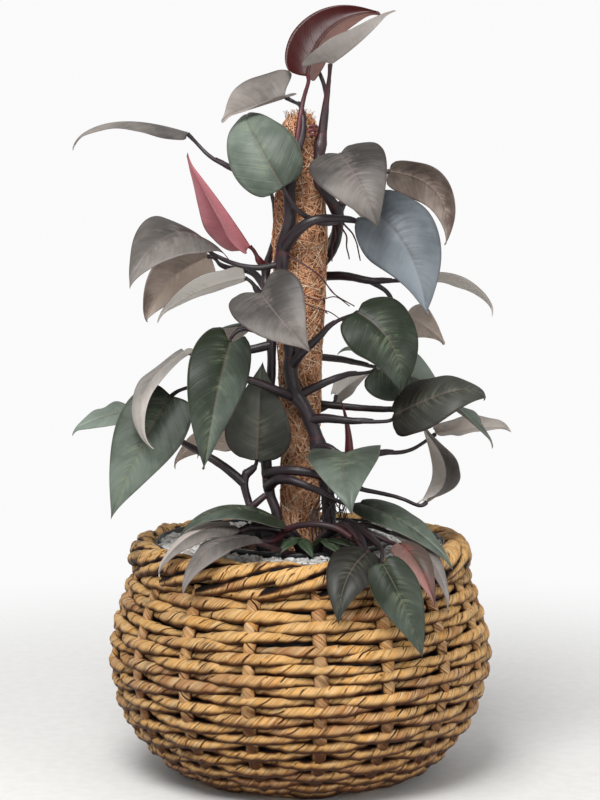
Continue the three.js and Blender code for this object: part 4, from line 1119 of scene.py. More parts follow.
@dataclass(frozen=True)
class LeafFinish:
    """The two sides of a leaf of one tone: deep to light by the leaf's tint, partly painted light, with veins
    and a margin.
    """

    deep: str
    light: str
    vein: str
    under_deep: str
    under_light: str
    under_vein: str
    flush: str = "8d817d"
    margin: str = "5a3b3e"
    roughness: float = 0.42
    ramp: float = 0.16

    def side(
        self, name: str, effects: Effects, paints: tuple[str, str, str, str], groove: float
    ) -> bpy.types.Material:
        """Builds one side.

        Args:
            name: the material's name.
            effects: the shared node groups.
            paints: colours of the darkest leaves, of the lightest, of veins and of the flush by the midrib.
            groove: 1 where veins stand out, -1 where they are sunk.

        Returns:
            The material.
        """
        deep, light, vein, flush = paints
        skin = Skin(name, effects, Specular_IOR_Level=0.26, Coat_Weight=0.06, Coat_Roughness=0.25)
        wiring = skin.wiring
        leaf_map = wiring.add("ShaderNodeUVMap", uv_map="leaf").outputs[0]
        midrib, veins, margin, quilt, streaks = skin.effect(effects.veins, Map=leaf_map)
        patches, specks = skin.mottle(26.0, 420.0)
        across, along = wiring.parts(leaf_map)[:2]
        # Painted light: the tint is partly painted light, and the split paints one half lighter and the other
        # darker for how light falls on them
        half = wiring.fade(across, 0.48, 0.52, -0.5, 0.5)
        uneven = wiring.scaled(patches, 0.16, wiring.fade(streaks, 0.25, 0.75, -0.13, -0.03))
        share = wiring.scaled(half, skin.attribute("split"), skin.attribute("tint"))
        share = wiring.plus(share, wiring.fade(along, 0.1, 0.8, -self.ramp, self.ramp))
        share = wiring.plus(share, uneven)
        colour = wiring.blend(wiring.fade(share, -0.15, 1.15), paint(deep), paint(light))
        spread = wiring.math("ABSOLUTE", wiring.scaled(across, 2.0, -1.0))
        by_midrib = wiring.times(wiring.fade(spread, 0.0, 0.6, 0.6, 0.0), wiring.fade(streaks, 0.42, 0.7))
        flushed = wiring.times(by_midrib, wiring.fade(patches, 0.15, 0.8))
        colour = wiring.blend(flushed, colour, paint(flush))
        colour = wiring.blend(wiring.times(veins, 0.07), colour, paint(vein))
        colour = wiring.blend(wiring.times(midrib, 0.42), colour, paint(vein))
        colour = wiring.blend(wiring.times(margin, 0.6), colour, paint(self.margin))
        roughness = wiring.fade(patches, 0.0, 1.0, self.roughness, self.roughness + 0.12)
        relief = wiring.scaled(streaks, 0.3, wiring.times(veins, 0.25 * groove))
        swell = wiring.scaled(quilt, -0.3, relief)
        swell = wiring.times(swell, wiring.fade(along, 0.3, 0.75, 1.0, 0.0))
        height = wiring.scaled(specks, 0.06, swell)
        return skin.finish(colour, roughness, height, 0.0006)

    def materials(self, tone: Tone, effects: Effects) -> list[bpy.types.Material]:
        """Returns the materials of the upper side and the underside."""
        above = (self.deep, self.light, self.vein, self.flush)
        below = (self.under_deep, self.under_light, self.under_vein, self.under_vein)
        upper = self.side(f"leaf_{tone.value}_upper", effects, above, -1.0)
        under = self.side(f"leaf_{tone.value}_under", effects, below, 1.0)
        return [upper, under]


# The light ends of the undersides, and of the pale tone's upper side, are near white: partly painted light
# that lifts leaves which lie in shade
LEAF_FINISHES = {
    Tone.SLATE: LeafFinish("343230", "b0a69f", "6f6561", "6a615c", "e6ddd6", "a3968e"),
    Tone.BLUE: LeafFinish("373c40", "9099a0", "7f7c80", "6a615c", "c2b9b1", "a3968e", flush="858a90"),
    Tone.GREEN: LeafFinish("20291b", "8c988c", "665a52", "6f645c", "d4ccc2", "a3968e", flush="7c8a68",
        margin="7a7064"),
    Tone.DARK: LeafFinish("1c1b15", "666a60", "6a5c52", "3b2b28", "5f514a", "7c6a60", flush="66685a"),
    Tone.RED: LeafFinish("8a3238", "cc8088", "b06a72", "7e3038", "c4787f", "b06a72", flush="d08a94",
        roughness=0.34),
    Tone.MAROON: LeafFinish("4a2829", "6f4a49", "a3807a", "3a0a08", "b48a80", "44120f", flush="8a5a56",
        margin="5a2a2a", roughness=0.34),
    Tone.BROWN: LeafFinish("544f4c", "7c7672", "8d817a", "483731", "f4e4d6", "b5a194", ramp=0.0),
    Tone.PALE: LeafFinish("57534f", "e0d8d0", "a99c94", "7c7068", "fffaf2", "b8aa9e"),
    Tone.PINK: LeafFinish("4c4038", "b0807a", "9a5c56", "6a4440", "8f6f68", "b18078", flush="b05a58"),
}


@dataclass
class Maker:
    """What every sub-assembly needs: the geometry trees, the effects and a record of what it made."""

    effects: Effects
    strands: bpy.types.NodeTree
    grains: bpy.types.NodeTree

    def keep(self, thing: bpy.types.Object, slot: str, *nodes: str) -> bpy.types.Object:
        """Makes a piece ride on the plant.

        Args:
            thing: the piece, in place.
            slot: the material slot that it takes its finish from; not used.
            *nodes: the solids that it stands for.

        Returns:
            The piece.
        """
        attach(thing, BODY)
        if nodes:
            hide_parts(*nodes)
        log.info("%s: %d faces for %s", thing.name, len(thing.data.polygons), ", ".join(nodes) or "no solid")
        return thing

    def sweep(self, name: str, strands: list[Strand], **values: Any) -> bpy.types.Object:
        """Returns an object of strands with their thickness, from the strand tree's inputs by name."""
        inputs = {key.replace("_", " "): value for key, value in values.items()}
        return applied(strand_lines(name, strands), self.strands, inputs)


@dataclass
class Basket:
    """The woven basket: a spiral rope round upright stakes, a slantwise border, a base and a film liner.

    Depths are measured inward from the crests of the ropes. The number of stakes is odd, so that each course
    passes behind the stakes that the one below it passes in front of.
    """

    stakes: int = 17
    stake_turn: float = 106.6
    courses: int = 24
    weft_start: float = 0.25
    weft_split: float = 11.5
    weft_left_free: float = 0.1
    mean_radius: float = 225
    outline_places: int = 24
    front_depth: float = 8.4
    behind_depth: float = 16.4
    front_radius: float = 8.5
    behind_radius: float = 5.2
    stake_depth: float = 12.2
    stake_radius: float = 9.2
    rope_step: float = 2.6
    behind_sharpness: float = 1.7
    course_drift: float = 0.19
    foot_mess: float = 1.2
    messy_courses: float = 4
    loose_depth: float = 1.2
    rope_unevenness: float = 0.17
    rope_step_height: float = 1.5
    rope_lump_height: float = 2.4
    base_radius: float = 7.6
    base_turns: float = 9.6
    base_reach: float = 147
    base_pitch: float = 14.6
    base_height: float = 9.8
    border_radius: float = 7.9
    core_radius: float = 9.0
    rim_radius: float = 201
    rim_height: float = 288
    rim_ropes: int = 34
    border_way: tuple[tuple[float, float], ...] = (
        (206, 262), (210, 272), (211.5, 281), (209, 290), (202, 296), (194, 296), (189, 288), (188, 279),
    )
    liner_neck: float = 184.8
    liner_top: float = 299
    liner_depth: float = 22.3
    film: float = 1.2
    outline_knots: tuple[tuple[float, float], ...] = (
        (150, 0), (182, 20), (206, 45), (228, 80), (241, 120), (245, 155), (241, 190), (231, 225), (219, 256),
        (212, 274),
    )
    rope: RopeFinish = field(default_factory=RopeFinish)

    def __post_init__(self) -> None:
        """Measures the outline over the crests of the ropes."""
        knots = np.array(self.outline_knots, float)
        ends = [knots[0], *knots, knots[-1]]
        places = []
        for first, start, end, last in zip(ends, ends[1:], ends[2:], ends[3:]):
            places += spline_piece(start, end, (end - first) / 2, (last - start) / 2, self.outline_places)
        places.append(knots[-1])
        self.line = resampled(np.array(places), 1.0)
        self.ahead = unit(np.gradient(self.line, axis=0))

    def wall(self, share: np.ndarray, depth: np.ndarray | float) -> tuple[np.ndarray, np.ndarray]:
        """Finds places in the wall.

        Args:
            share: how far up the outline, from 0 to 1.
            depth: how far in from the crests, in millimetres.

        Returns:
            Radius and height of each place.
        """
        at = np.clip(share, 0, 1) * (len(self.line) - 1)
        order = np.arange(len(self.line))
        radius, height, rise_r, rise_z = (
            np.interp(at, order, values) for values in (*self.line.T, *self.ahead.T)
        )
        return radius - rise_z * depth, height + rise_r * depth

    def angle(self, stakes: np.ndarray | float) -> np.ndarray | float:
        """Returns the direction of a place counted in stakes from the one at the back."""
        return math.radians(self.stake_turn) + TURN * stakes / self.stakes

    def weft(self, first: float, last: float) -> Strand:
        """Lays one stretch of the spiral rope, from one course to another.

        Args:
            first: course that it starts in.
            last: course that it ends in.

        Returns:
            The rope, in front of every other stake and behind the ones between.
        """
        length = TURN * self.mean_radius * (last - first)
        at = np.linspace(first, last, int(length / self.rope_step))
        stake = at * self.stakes
        behind = (0.5 - 0.5 * np.cos(math.pi * stake)) ** self.behind_sharpness
        mess = 1 + self.foot_mess * np.clip(1 - at / self.messy_courses, 0, 1)
        share = (at + self.course_drift * mess * wander(stake, 1.5, 21)) / self.courses
        depth = self.front_depth + (self.behind_depth - self.front_depth) * behind
        depth = depth + np.clip(wander(stake, 1.7, 22), 0, 1) * self.loose_depth
        radius = self.front_radius + (self.behind_radius - self.front_radius) * behind
        radius = radius * (1 + self.rope_unevenness * wander(stake, 0.9, 23))
        out, height = self.wall(share, depth)
        height = np.maximum(height, radius * 0.96 + 1.6)
        angle = self.angle(stake)
        tint = 0.5 + 0.5 * wander(stake, 1.3, 24) - 0.15 * np.clip(1 - at / 9, 0, 1)
        return Strand(around(out, angle, height), radius, tint, self.outward(share, angle))

    def outward(self, share: np.ndarray, angle: np.ndarray | float) -> np.ndarray:
        """Returns the way out of the wall at places in it."""
        at = np.clip(share, 0, 1) * (len(self.line) - 1)
        rise_r, rise_z = (np.interp(at, np.arange(len(self.line)), values) for values in self.ahead.T)
        return around(rise_z, angle, -rise_r)

    def stake(self, number: int) -> Strand:
        """Returns one upright rope of the wall."""
        share = np.linspace(0.02, 0.995, 100)
        out, height = self.wall(share, self.stake_depth)
        height = np.maximum(height, self.stake_radius)
        radius = self.stake_radius * (1 + 0.1 * wander(share, 0.12, 40 + number))
        angle = self.angle(number) + 0.006 * wander(share, 0.2, 70 + number)
        # The stakes are tinted darker than the weft: partly their own browner tone, partly painted shade
        # where they lie deeper in the wall
        tint = 0.1 + 0.2 * wander(share, 0.3, 90 + number)
        return Strand(around(out, angle, height), radius, tint, self.outward(share, angle))

    def base(self) -> Strand:
        """Returns the flat coil of rope that closes the foot."""
        turns = np.linspace(0, self.base_turns, 2000)
        out = self.base_reach - self.base_pitch * turns
        angle = self.angle(turns * self.stakes)
        height = self.base_height + np.sin(turns * math.pi * self.stakes)
        return Strand(around(out, angle, height), self.base_radius, 0.4)

    def border_rope(self, number: int) -> Strand:
        """Returns one rope of the border, which rises slantwise outside and goes over the top and inside."""
        long = number % 2 == 0
        way = np.array(self.border_way[0 if long else 2 :], float)
        rise = 2.0 if long else 1.15
        at = np.linspace(0, 1, 80)
        knots = np.linspace(0, 1, len(way))
        out, height = (np.interp(at, knots, values) for values in way.T)
        kernel = np.hanning(15) / np.hanning(15).sum()
        out, height = (np.convolve(np.pad(values, 7, "edge"), kernel, "valid") for values in (out, height))
        swell = wander(at, 0.3, 300 + number)
        along = np.interp(at, [0, 0.58, 1], [-rise, 0, 0.7])
        angle = self.angle(number * self.stakes / self.rim_ropes + along)
        out = out + 1.6 * swell
        height = height + 1.2 * wander(at, 0.35, 350 + number)
        radius = self.border_radius * (1 + 0.1 * wander(at, 0.2, 200 + number))
        radius = radius * np.interp(at, [0, 0.07, 0.93, 1], [0.7, 1, 1, 0.8])
        flat = unit(np.stack([out - self.rim_radius, height - self.rim_height + 6], axis=1))
        face = around(flat[:, 0], angle, flat[:, 1])
        tint = 0.6 + 0.4 * wander(at, 0.5, 400 + number)
        return Strand(around(out, angle, height), radius, tint, face)

    def border_core(self) -> Strand:
        """Returns the rope ring that the border is bound round, tinted dark as painted shade in the gaps
        between border ropes.
        """
        angle = np.linspace(0, TURN, 260)
        ring = np.full_like(angle, self.rim_radius - 1)
        height = np.full_like(angle, self.rim_height - 7)
        return Strand(around(ring, angle, height), self.core_radius, 0.05)

    def liner(self, maker: Maker) -> bpy.types.Object:
        """Builds the film: a creased skin inside the wall, up to just under the border's crest."""
        columns = 170
        out, height = self.wall(np.linspace(0.2, 0.97, 24), self.liner_depth)
        neck, film = self.liner_neck, self.film
        collar = [(neck, 280), (neck, 290), (neck, self.liner_top)]
        outside = [(0, 18.6), (124, 18.6), *zip(out, height), *collar]
        inside = [(radius - film, level + (0 if level > 30 else film)) for radius, level in outside[:0:-1]]
        profile = np.array([*outside, *inside, (0, 19.8)], float)
        shift = np.zeros((len(profile), columns, 2))
        rows = len(outside)
        for row in range(2, rows):
            shift[row, :, 0] = -0.9 - 0.9 * wander(np.arange(columns), 3.0, 500 + row // 3)
            mirror = 2 * rows - 1 - row
            shift[mirror, :, 0] = shift[row, :, 0]
        places, faces = revolved(profile, columns, shift)
        plastic = PlasticFinish("liner_film", "101114", "2a2c30", 0.28).material(maker.effects)
        return mesh_of("liner_film", places, faces, [plastic])

    def build(self, maker: Maker) -> None:
        """Builds and dresses the basket's pieces."""
        look = {
            "Lay": self.rope.lay,
            "Strips": self.rope.strips,
            "Lump_Scale": 75.0,
            "Step_Height": self.rope_step_height * MM,
            "Lump_Height": self.rope_lump_height * MM,
            "Material": self.rope.material(maker.effects),
        }
        end = self.courses - self.weft_left_free
        spans = (("weft_lower", self.weft_start, self.weft_split), ("weft_upper", self.weft_split, end))
        for name, first, last in spans:
            piece = maker.sweep(name, [self.weft(first, last)], Sides=14, **look)
            maker.keep(piece, "basket_rope", "basket_body")
        stakes = [self.stake(number) for number in range(self.stakes)]
        maker.keep(maker.sweep("stakes", stakes, Sides=12, **look), "basket_rope", "basket_body")
        maker.keep(maker.sweep("base_coil", [self.base()], Sides=10, **look), "basket_rope", "basket_body")
        border = [self.border_rope(number) for number in range(self.rim_ropes)]
        border.append(self.border_core())
        maker.keep(maker.sweep("border", border, Sides=14, **look), "basket_rope", "basket_rim")
        maker.keep(self.liner(maker), "liner_film", "basket_liner")


@dataclass
class Filling:
    """The culture pot with its potting mix, bedded in pumice."""

    pot_bottom: float = 110
    pot_top: float = 300
    pot_foot: float = 97
    pot_mouth: float = 108
    pot_lip: float = 113
    lip_height: float = 7
    pumice_top: float = 291.5
    pumice_out: float = 182
    soil_top: float = 286

    def pot(self, maker: Maker) -> bpy.types.Object:
        """Builds the moulded pot with its rolled lip."""
        lip, top, mouth = self.pot_lip, self.pot_top, self.pot_mouth
        under = top - self.lip_height
        profile = np.array([
            (0, self.pot_bottom), (self.pot_foot - 4, self.pot_bottom), (self.pot_foot, self.pot_bottom + 4),
            (mouth, under - 1), (lip - 1, under), (lip, under + 1), (lip, top - 1), (lip - 1, top),
            (mouth - 1, top), (mouth - 2, top - 1.2), (self.pot_foot - 2, self.pot_bottom + 4),
            (self.pot_foot - 6, self.pot_bottom + 2), (0, self.pot_bottom + 2),
        ], float)
        places, faces = revolved(profile, 128)
        plastic = PlasticFinish("pot_plastic", "141517", "54585c", 0.3).material(maker.effects)
        return mesh_of("culture_pot_shell", places, faces, [plastic])

    def ring(self, name: str, inner: float, outer: float, height: float) -> bpy.types.Object:
        """Returns a flat ring, or a disc where inner is 0, that grains are strewn over."""
        columns = 64
        angles = np.arange(columns) * TURN / columns
        level = np.full(columns, height)
        places = np.concatenate([around(radius, angles, level) for radius in (max(inner, 0.5), outer)])
        faces = [
            [i, i + columns, (i + 1) % columns + columns, (i + 1) % columns] for i in range(columns)
        ]
        return mesh_of(name, places, faces, [])

    def build(self, maker: Maker) -> None:
        """Builds and dresses the filling."""
        maker.keep(self.pot(maker), "pot_plastic", "culture_pot")
        grit = GritFinish("pumice_grains", "ffffff", "b9b2a6", "dbe6ea", 0.95).material(maker.effects)
        mix = GritFinish("potting_mix", "5a3f2b", "1d130d", "8a6242", 0.95).material(maker.effects)
        coarse = {"Density": 26000.0, "Smallest": (0.0065,) * 3, "Largest": (0.0125,) * 3, "Angular": 0.0046}
        chips = {"Density": 22000.0, "Smallest": (0.005, 0.004, 0.003), "Largest": (0.014, 0.011, 0.006)}
        ring = self.ring("pumice_grains", self.pot_lip + 1, self.pumice_out, self.pumice_top)
        maker.keep(applied(ring, maker.grains, {**coarse, "Seed": 4, "Material": grit}), "pumice")
        disc = self.ring("bark_chips", 0, self.pot_mouth - 9, self.soil_top)
        chips = {**chips, "Angular": 0.004, "Seed": 5, "Material": mix}
        maker.keep(applied(disc, maker.grains, chips), "potting_mix")


@dataclass
class Pole:
    """The coir pole: a matted sleeve with loose fibres all over it and a frayed top."""

    outline: tuple[tuple[float, float], ...] = (
        (262, 25), (335, 25), (415, 24), (480, 26), (545, 28), (610, 32), (680, 35), (740, 31), (790, 26),
        (828, 21), (836, 14),
    )
    bottom: float = 262
    top: float = 836
    bore: float = 13.4
    fibres: int = 3300
    tufts: int = 110
    mean_radius: float = 27
    fibre_length: tuple[float, float] = (16, 52)
    tuft_length: tuple[float, float] = (6, 17)
    coir: CoirFinish = field(default_factory=CoirFinish)

    def radius(self, height: np.ndarray) -> np.ndarray:
        """Returns the sleeve's radius at a height."""
        heights, radii = np.array(self.outline).T
        return np.interp(height, heights, radii)

    def sleeve(self, maker: Maker) -> bpy.types.Object:
        """Builds the matted body, lumpy outside and bored for the pipe."""
        columns = 84
        heights = np.concatenate([np.arange(self.bottom, 830, 4.5), [830, 834, self.top]])
        radii = self.radius(heights) - 1.4
        outside = [(radius, height) for radius, height in zip(radii, heights)]
        bore = [(0, 828.4), (self.bore, 828.4), (self.bore, self.bottom)]
        profile = np.array([*bore, *outside, (0, self.top)], float)
        shift = np.zeros((len(profile), columns, 2))
        rng = np.random.default_rng(31)
        rows = len(outside)
        coarse = rng.uniform(-1, 1, (rows // 3 + 2, columns // 3 + 1))
        fine = rng.uniform(-1, 1, (rows, columns))
        lumps = np.kron(coarse, np.ones((3, 3)))[:rows, :columns]
        shift[3 : 3 + rows, :, 0] = 0.8 * lumps + 0.55 * fine - 0.5
        places, faces = revolved(profile, columns, shift)
        return mesh_of("coir_sleeve", places, faces, [self.coir.mat(maker.effects)])

    def fibre(self, rng: np.random.Generator) -> Strand:
        """Returns one loose fibre that lies over the sleeve in a random direction."""
        count = 8
        length = rng.uniform(*self.fibre_length)
        height = rng.uniform(self.bottom + 4, self.top - 4)
        lean = rng.normal(0, 1.1)
        bow = rng.normal(0, 0.5)
        at = np.linspace(-0.5, 0.5, count)
        heights = np.clip(height + length * at * math.cos(lean), self.bottom + 2, self.top + 3)
        lift = rng.uniform(-0.9, 0.9) + 1.1 * np.abs(at) * rng.uniform(-1, 2.4)
        radius = self.radius(heights) - 0.6 + np.clip(lift, -0.8, 3.5)
        angle = rng.uniform(0, TURN) + (length * at * math.sin(lean) + 14 * bow * (at**2)) / self.mean_radius
        return Strand(around(radius, angle, heights), rng.uniform(0.28, 0.75), rng.uniform(0, 1))

    def tuft(self, rng: np.random.Generator) -> Strand:
        """Returns one frayed fibre that stands out of the pole's top."""
        angle, spin = rng.uniform(0, TURN), rng.normal(0, 0.5)
        start = rng.uniform(2, 19)
        at = np.linspace(0, 1, 7)
        radius = start + rng.uniform(-3, 6) * at**2
        height = self.top - 7 + at * rng.uniform(*self.tuft_length)
        places = around(radius, angle + spin * at, height)
        return Strand(places, rng.uniform(0.25, 0.5), rng.uniform(0.3, 1))

    def build(self, maker: Maker) -> None:
        """Builds and dresses the pole."""
        maker.keep(self.sleeve(maker), "coir", "pole_coir")
        rng = np.random.default_rng(17)
        threads = [self.fibre(rng) for _ in range(self.fibres)] + [self.tuft(rng) for _ in range(self.tufts)]
        piece = maker.sweep("coir_fibres", threads, Sides=3, Material=self.coir.thread(maker.effects))
        maker.keep(piece, "coir")


class BladeSheet:
    """The curved middle surface of a blade."""

    def __init__(self, blade: Blade) -> None:
        """Settles the midrib and the blade's own directions."""
        self.blade = blade
        base, tip, face = (np.array(value, float) for value in (blade.base, blade.tip, blade.face))
        ahead = unit(tip - base)
        self.face = unit(face - ahead * (face @ ahead))
        self.left = np.cross(ahead, self.face)
        bow = base + (tip - base) * blade.bend + self.face * 2 * blade.arch + self.left * 2 * blade.sweep
        self.curve = (base, bow, tip)
        self.shares = np.linspace(0, 1, 201)
        places = self.bezier(self.shares)
        lengths = lengths_along(places)
        self.length = lengths[-1]
        self.lengths = lengths / self.length

    def bezier(self, at: np.ndarray) -> np.ndarray:
        """Returns places on the midrib, by its own parameter."""
        base, bow, tip = self.curve
        at = at[..., None]
        return (1 - at) ** 2 * base + 2 * at * (1 - at) * bow + at**2 * tip

    def heading(self, at: np.ndarray) -> np.ndarray:
        """Returns the midrib's direction."""
        base, bow, tip = self.curve
        at = at[..., None]
        return unit(2 * (1 - at) * (bow - base) + 2 * at * (tip - bow))

    def half_width(self, along: np.ndarray) -> np.ndarray:
        """Returns half the width, as a share of the widest place."""
        widest, shoulder = 0.27, self.blade.shoulder
        near = shoulder + (1 - shoulder) * np.sqrt(np.clip(1 - (1 - along / widest) ** 2, 0, 1))
        rest = np.clip((along - widest) / (1 - widest), 0, 1)
        far = np.clip(1 - rest**1.65, 0, 1) ** 1.35
        return np.where(along < widest, near, far)

    def places(self, along: np.ndarray, across: np.ndarray) -> np.ndarray:
        """Returns places on the surface.

        Args:
            along: from the base (0) to the tip (1).
            across: from edge to edge, -1 to 1.

        Returns:
            One place for each pair, in millimetres.
        """
        blade = self.blade
        spread = np.abs(across)
        reach = along - blade.lobe * (1 - along) ** 3 * spread**2 * (3 - 2 * spread)
        held = np.clip(reach, 0, 1)
        at = np.interp(held, self.lengths, self.shares)
        ahead = self.heading(at)
        side = unit(self.left - ahead * (ahead @ self.left)[..., None])
        up = np.cross(side, ahead)
        half = spread * self.half_width(along) * blade.width / 2
        fold = math.radians(blade.fold)
        place = self.bezier(at) + ahead * ((reach - held) * self.length)[..., None]
        place = place + side * (np.sign(across) * half * math.cos(fold))[..., None]
        return place + up * (half * math.sin(fold))[..., None]

    def normals(self, along: np.ndarray, across: np.ndarray) -> np.ndarray:
        """Returns the direction of the upper side."""
        nudge = 0.01
        ahead = self.places(along + nudge, across) - self.places(along, across)
        left, right = np.minimum(across + nudge, 1), np.maximum(across - nudge, -1)
        aside = self.places(along, left) - self.places(along, right)
        return unit(np.cross(aside, ahead))

    def stalk_top(self, below: float, behind: float, clear: float) -> list[Place]:
        """Returns the last two places of the stalk, which comes up to the blade from below and behind."""
        zero = np.zeros(1)
        base = self.places(zero, zero)[0]
        ahead = unit(self.places(zero + 0.02, zero)[0] - base)
        aside = unit(self.places(zero + 0.02, zero + 0.1)[0] - self.places(zero + 0.02, zero - 0.1)[0])
        up = unit(np.cross(aside, ahead))
        return [tuple(base - up * below - ahead * behind), tuple(base - up * clear)]


@dataclass
class Leafmaker:
    """Builds leaf blades as thin closed meshes, with a sunk midrib, a keel below and a wavy margin."""

    rows: int = 40
    half_lines: int = 12
    thickness: float = 0.8
    midrib: float = 0.9
    keel: float = 1.5
    ripple: float = 3.4
    hook: float = 6.0
    bulge: float = 2.8

    def mesh(
        self, name: str, blade: Blade, materials: list[bpy.types.Material], scale: float = 1.0
    ) -> bpy.types.Object:
        """Builds one blade.

        Args:
            name: the object's name.
            blade: its shape and shade.
            materials: of its upper side and its underside.
            scale: size of its relief, 1 on a grown leaf.

        Returns:
            The object, with the UV map that the veins follow.
        """
        sheet = BladeSheet(blade)
        stations = np.linspace(0, 0.985, self.rows) ** 1.15
        lines = np.arange(-self.half_lines, self.half_lines + 1) / self.half_lines
        lines = np.sign(lines) * np.abs(lines) ** 1.35
        along, across = (grid.ravel() for grid in np.meshgrid(stations, lines, indexing="ij"))
        along, across = np.append(along, 0.999), np.append(across, 0.0)
        normals = sheet.normals(along, across)
        normals[-1] = normals[-2 - self.half_lines]
        spread = np.abs(across)
        from_rib = spread * sheet.half_width(along) * blade.width / 2
        seed = sum(map(ord, name))
        left, right = (np.interp(along, stations, wander(stations, 0.19, seed + side)) for side in (1, 2))
        edge = np.where(across > 0, left, right)
        wavy = self.ripple * scale * edge * spread**2 * np.clip(1.15 - along, 0, 1)
        hook = self.hook * scale * np.clip((along - 0.84) / 0.16, 0, 1) ** 2
        bulge = self.bulge * scale * np.sin(math.pi * spread**0.85) * np.clip(1.1 - along, 0, 1) ** 0.5
        middle = sheet.places(along, across) + normals * (wavy - hook + bulge)[:, None]
        half = self.thickness * scale / 2 * (1 - 0.5 * spread**4)
        taper = np.clip(1.1 - along, 0, 1)
        top = half - self.midrib * scale * np.exp(-((from_rib / (1.5 * scale)) ** 2)) * taper * 0.8
        below = half + self.keel * scale * np.exp(-((from_rib / (1.9 * scale)) ** 2)) * taper
        places = np.concatenate([middle + normals * top[:, None], middle - normals * below[:, None]])
        faces, sides = self.faces(len(stations), len(lines))
        thing = mesh_of(name, places, faces, materials)
        mesh = thing.data
        mesh.polygons.foreach_set("material_index", sides)
        # Stored for the shader: the tint, partly painted light, and the split, painted light on each half
        for key, value in (("tint", blade.light), ("split", blade.split)):
            mesh.attributes.new(key, "FLOAT", "POINT").data.foreach_set("value", np.full(len(places), value))
        layer = mesh.uv_layers.new(name="leaf")
        corners = np.zeros(len(mesh.loops), int)
        mesh.loops.foreach_get("vertex_index", corners)
        corners %= len(along)
        uv = np.stack([across[corners] / 2 + 0.5, along[corners]], axis=1)
        layer.data.foreach_set("uv", uv.astype(np.float32).ravel())
        return thing

    @staticmethod
    def faces(rows: int, columns: int) -> tuple[list, list[int]]:
        """Returns the faces of both sides and the edge, and which material each one has."""
        count = rows * columns + 1
        tip = count - 1
        top = [
            [row * columns + column, row * columns + column + 1, (row + 1) * columns + column + 1,
             (row + 1) * columns + column]
            for row in range(rows - 1) for column in range(columns - 1)
        ]
        last = (rows - 1) * columns
        top += [[last + column, last + column + 1, tip] for column in range(columns - 1)]
        under = [[face[0] + count] + [corner + count for corner in reversed(face[1:])] for face in top]
        border = list(range(columns))
        border += [row * columns + columns - 1 for row in range(1, rows)] + [tip]
        border += [row * columns for row in range(rows - 1, 0, -1)]
        rim = [
            [here, here + count, there + count, there] for here, there in zip(border, border[1:] + border[:1])
        ]
        return top + under + rim, [0] * len(top) + [1] * len(under) + [0] * len(rim)


@dataclass
class Foliage:
    """The forty-five leaf blades, each an object of its own."""

    leafmaker: Leafmaker = field(default_factory=Leafmaker)

    def build(self, maker: Maker) -> None:
        """Builds and dresses every leaf."""
        finishes = {tone: LEAF_FINISHES[tone].materials(tone, maker.effects) for tone in Tone}
        for name, blade in BLADES.items():
            leaf = self.leafmaker.mesh("blade_" + name, blade, finishes[blade.tone])
            maker.keep(leaf, "leaf_" + blade.tone.value, "leaf_" + name)


